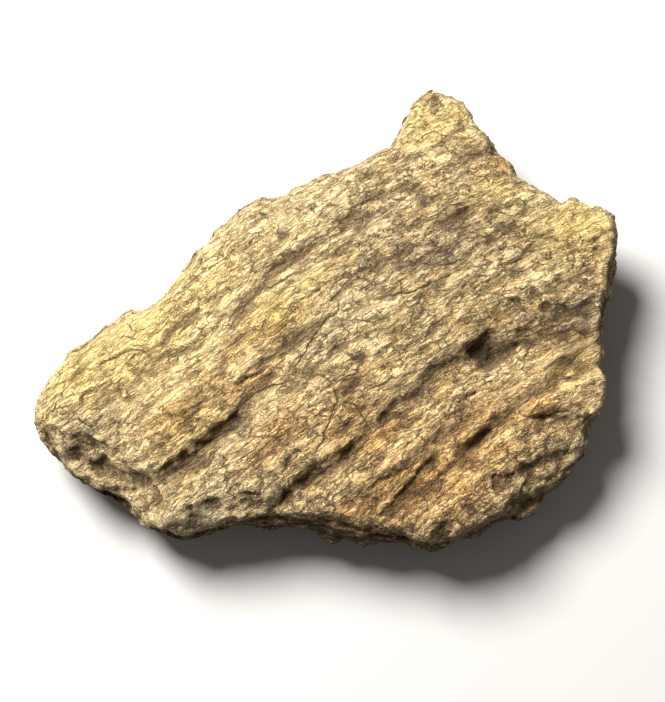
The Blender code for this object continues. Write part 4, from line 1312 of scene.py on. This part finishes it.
    def height(self):
        """How high the relief stands that is shaded and not modelled, in millimetres."""
        raised = self.plates * 0.4 + self.folds * 0.5 + self.threads * 0.3
        raised = raised + self.mottle * 0.9 + self.grit * 1.5
        return raised - self.streak_line * 0.3 - self.crack * 0.3 - self.pits * 0.6


def fine_blank(sizes):
    """The flat blank again, in faces as fine as the bone's fibres."""
    slab = flat_blank(bpy.context.scene.collection)
    return with_modifier(slab, "Fine faces", "REMESH", mode="VOXEL", voxel_size=sizes.face_size)


class FOSSIL_OT_frill_fragment(Operator):
    """Build the slab of frill bone"""

    bl_idname = "fossil.frill_fragment"
    bl_label = "Frill fragment"

    def execute(self, context):
        sizes = context.scene.fossil_skin_sizes
        noise.seed_set(NOISE_SEED)
        slab = fine_blank(sizes)
        mesh = slab.data
        for name, values in grow_skin(mesh, sizes).items():
            store(mesh, name, values)
        ratio = sizes.most_triangles / (2.0 * len(mesh.polygons))
        with_modifier(slab, "Fewer faces", "DECIMATE", ratio=min(ratio, 1.0), use_collapse_triangulate=True)
        slab.data.transform(Matrix.Scale(MM, 4))
        slab.data.shade_smooth()
        slab.data.materials.clear()
        slab.data.materials.append(BoneFinish(context.scene.fossil_colours).material)
        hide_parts(NODE)
        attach(slab, "root")
        return {"FINISHED"}


# The studio, in metres where no other unit is named
FLOOR_SIZE = 4.0
FLOOR_ROUGHNESS = 0.9
KEY_PLACE = (-0.27, 0.30, 0.56)
KEY_SIZE = 0.33
KEY_COLOUR = (1.0, 0.965, 0.925)
AIR_COLOUR = (1.0, 0.94, 0.84, 1.0)
AIM = (1.1, -7.7, 22.0)  # what the camera and the light are turned to, in mm
SENSOR_WIDTH = 36.0  # in mm
NEAREST_SEEN = 0.01


class StudioSizes(PropertyGroup):
    """Where the camera stands, and how strong the lights are."""

    distance: FloatProperty(
        name="Camera distance", description="From the lens to the slab",
        default=0.43, min=0.1, unit="LENGTH",
    )
    elevation: FloatProperty(
        name="Camera elevation", description="Angle above the floor",
        default=math.radians(80.0), subtype="ANGLE",
    )
    focal_length: FloatProperty(
        name="Focal length", description="On a 36 mm sensor",
        default=107.3, min=10.0, unit="CAMERA",
    )
    key_power: FloatProperty(
        name="Key light", description="Power of the light from the upper left",
        default=23.6, min=0.0, unit="POWER",
    )
    sky_strength: FloatProperty(
        name="Fill", description="Strength of the even light from all round",
        default=0.32, min=0.0,
    )


def floor_finish(colours):
    finish = Finish("studio_floor")
    finish.feed(finish.shader.inputs["Base Color"], (*colours.floor, 1.0))
    finish.feed(finish.shader.inputs["Roughness"], FLOOR_ROUGHNESS)
    return finish.material


def lay_floor(context):
    bpy.ops.mesh.primitive_plane_add(size=FLOOR_SIZE, location=(0.0, 0.0, 0.0))
    floor = context.object
    floor.name = "studio_floor"
    floor.data.materials.append(floor_finish(context.scene.fossil_colours))


def placed(scene, name, data, place, target):
    """A new lamp or camera at place, turned to look at target."""
    obj = bpy.data.objects.new(name, data)
    scene.collection.objects.link(obj)
    obj.location = place
    obj.rotation_euler = (obj.location - target).to_track_quat("Z", "Y").to_euler()
    return obj


def hang_key_light(scene, power, aim):
    """The broad lamp at the upper left that gives the shadows."""
    key = bpy.data.lights.new("key_light", "AREA")
    key.shape = "DISK"
    key.size = KEY_SIZE
    key.energy = power
    key.color = KEY_COLOUR
    placed(scene, "key_light", key, KEY_PLACE, aim)


def fill_with_air(scene, strength):
    """The even light from all round."""
    world = bpy.data.worlds.new("studio_air")
    world.use_nodes = True
    air = world.node_tree.nodes["Background"].inputs
    air["Color"].default_value = AIR_COLOUR
    air["Strength"].default_value = strength
    scene.world = world


def set_up_camera(scene, sizes, aim):
    camera = bpy.data.cameras.new("camera")
    camera.lens = sizes.focal_length
    camera.sensor_width = SENSOR_WIDTH
    camera.clip_start = NEAREST_SEEN
    back = Vector((0.0, -math.cos(sizes.elevation), math.sin(sizes.elevation)))
    scene.camera = placed(scene, "camera", camera, aim + back * sizes.distance, aim)


class FOSSIL_OT_studio(Operator):
    """Build the floor, the lights and the camera"""

    bl_idname = "fossil.studio"
    bl_label = "Studio"

    def execute(self, context):
        scene = context.scene
        sizes = scene.fossil_studio_sizes
        aim = Vector(AIM) * MM
        lay_floor(context)
        hang_key_light(scene, sizes.key_power, aim)
        fill_with_air(scene, sizes.sky_strength)
        set_up_camera(scene, sizes, aim)
        scene.view_settings.view_transform = "Standard"
        return {"FINISHED"}


class FOSSIL_PT_panel(Panel):
    """Lists the pieces of the fossil scene"""

    bl_idname = "FOSSIL_PT_panel"
    bl_label = "Fossil frill fragment"
    bl_space_type = "VIEW_3D"
    bl_region_type = "UI"
    bl_category = "Fossil"

    def draw(self, context):
        for operator in (FOSSIL_OT_frill_fragment, FOSSIL_OT_studio):
            self.layout.operator(operator.bl_idname)


CLASSES = (
    FossilSkinSizes,
    FossilColours,
    StudioSizes,
    FOSSIL_OT_frill_fragment,
    FOSSIL_OT_studio,
    FOSSIL_PT_panel,
)


def register():
    for cls in CLASSES:
        bpy.utils.register_class(cls)
    bpy.types.Scene.fossil_skin_sizes = PointerProperty(type=FossilSkinSizes)
    bpy.types.Scene.fossil_colours = PointerProperty(type=FossilColours)
    bpy.types.Scene.fossil_studio_sizes = PointerProperty(type=StudioSizes)


def unregister():
    del bpy.types.Scene.fossil_studio_sizes
    del bpy.types.Scene.fossil_colours
    del bpy.types.Scene.fossil_skin_sizes
    for cls in reversed(CLASSES):
        bpy.utils.unregister_class(cls)


def main():
    register()
    bpy.ops.fossil.frill_fragment()
    bpy.ops.fossil.studio()


if __name__ == "__main__":
    main()
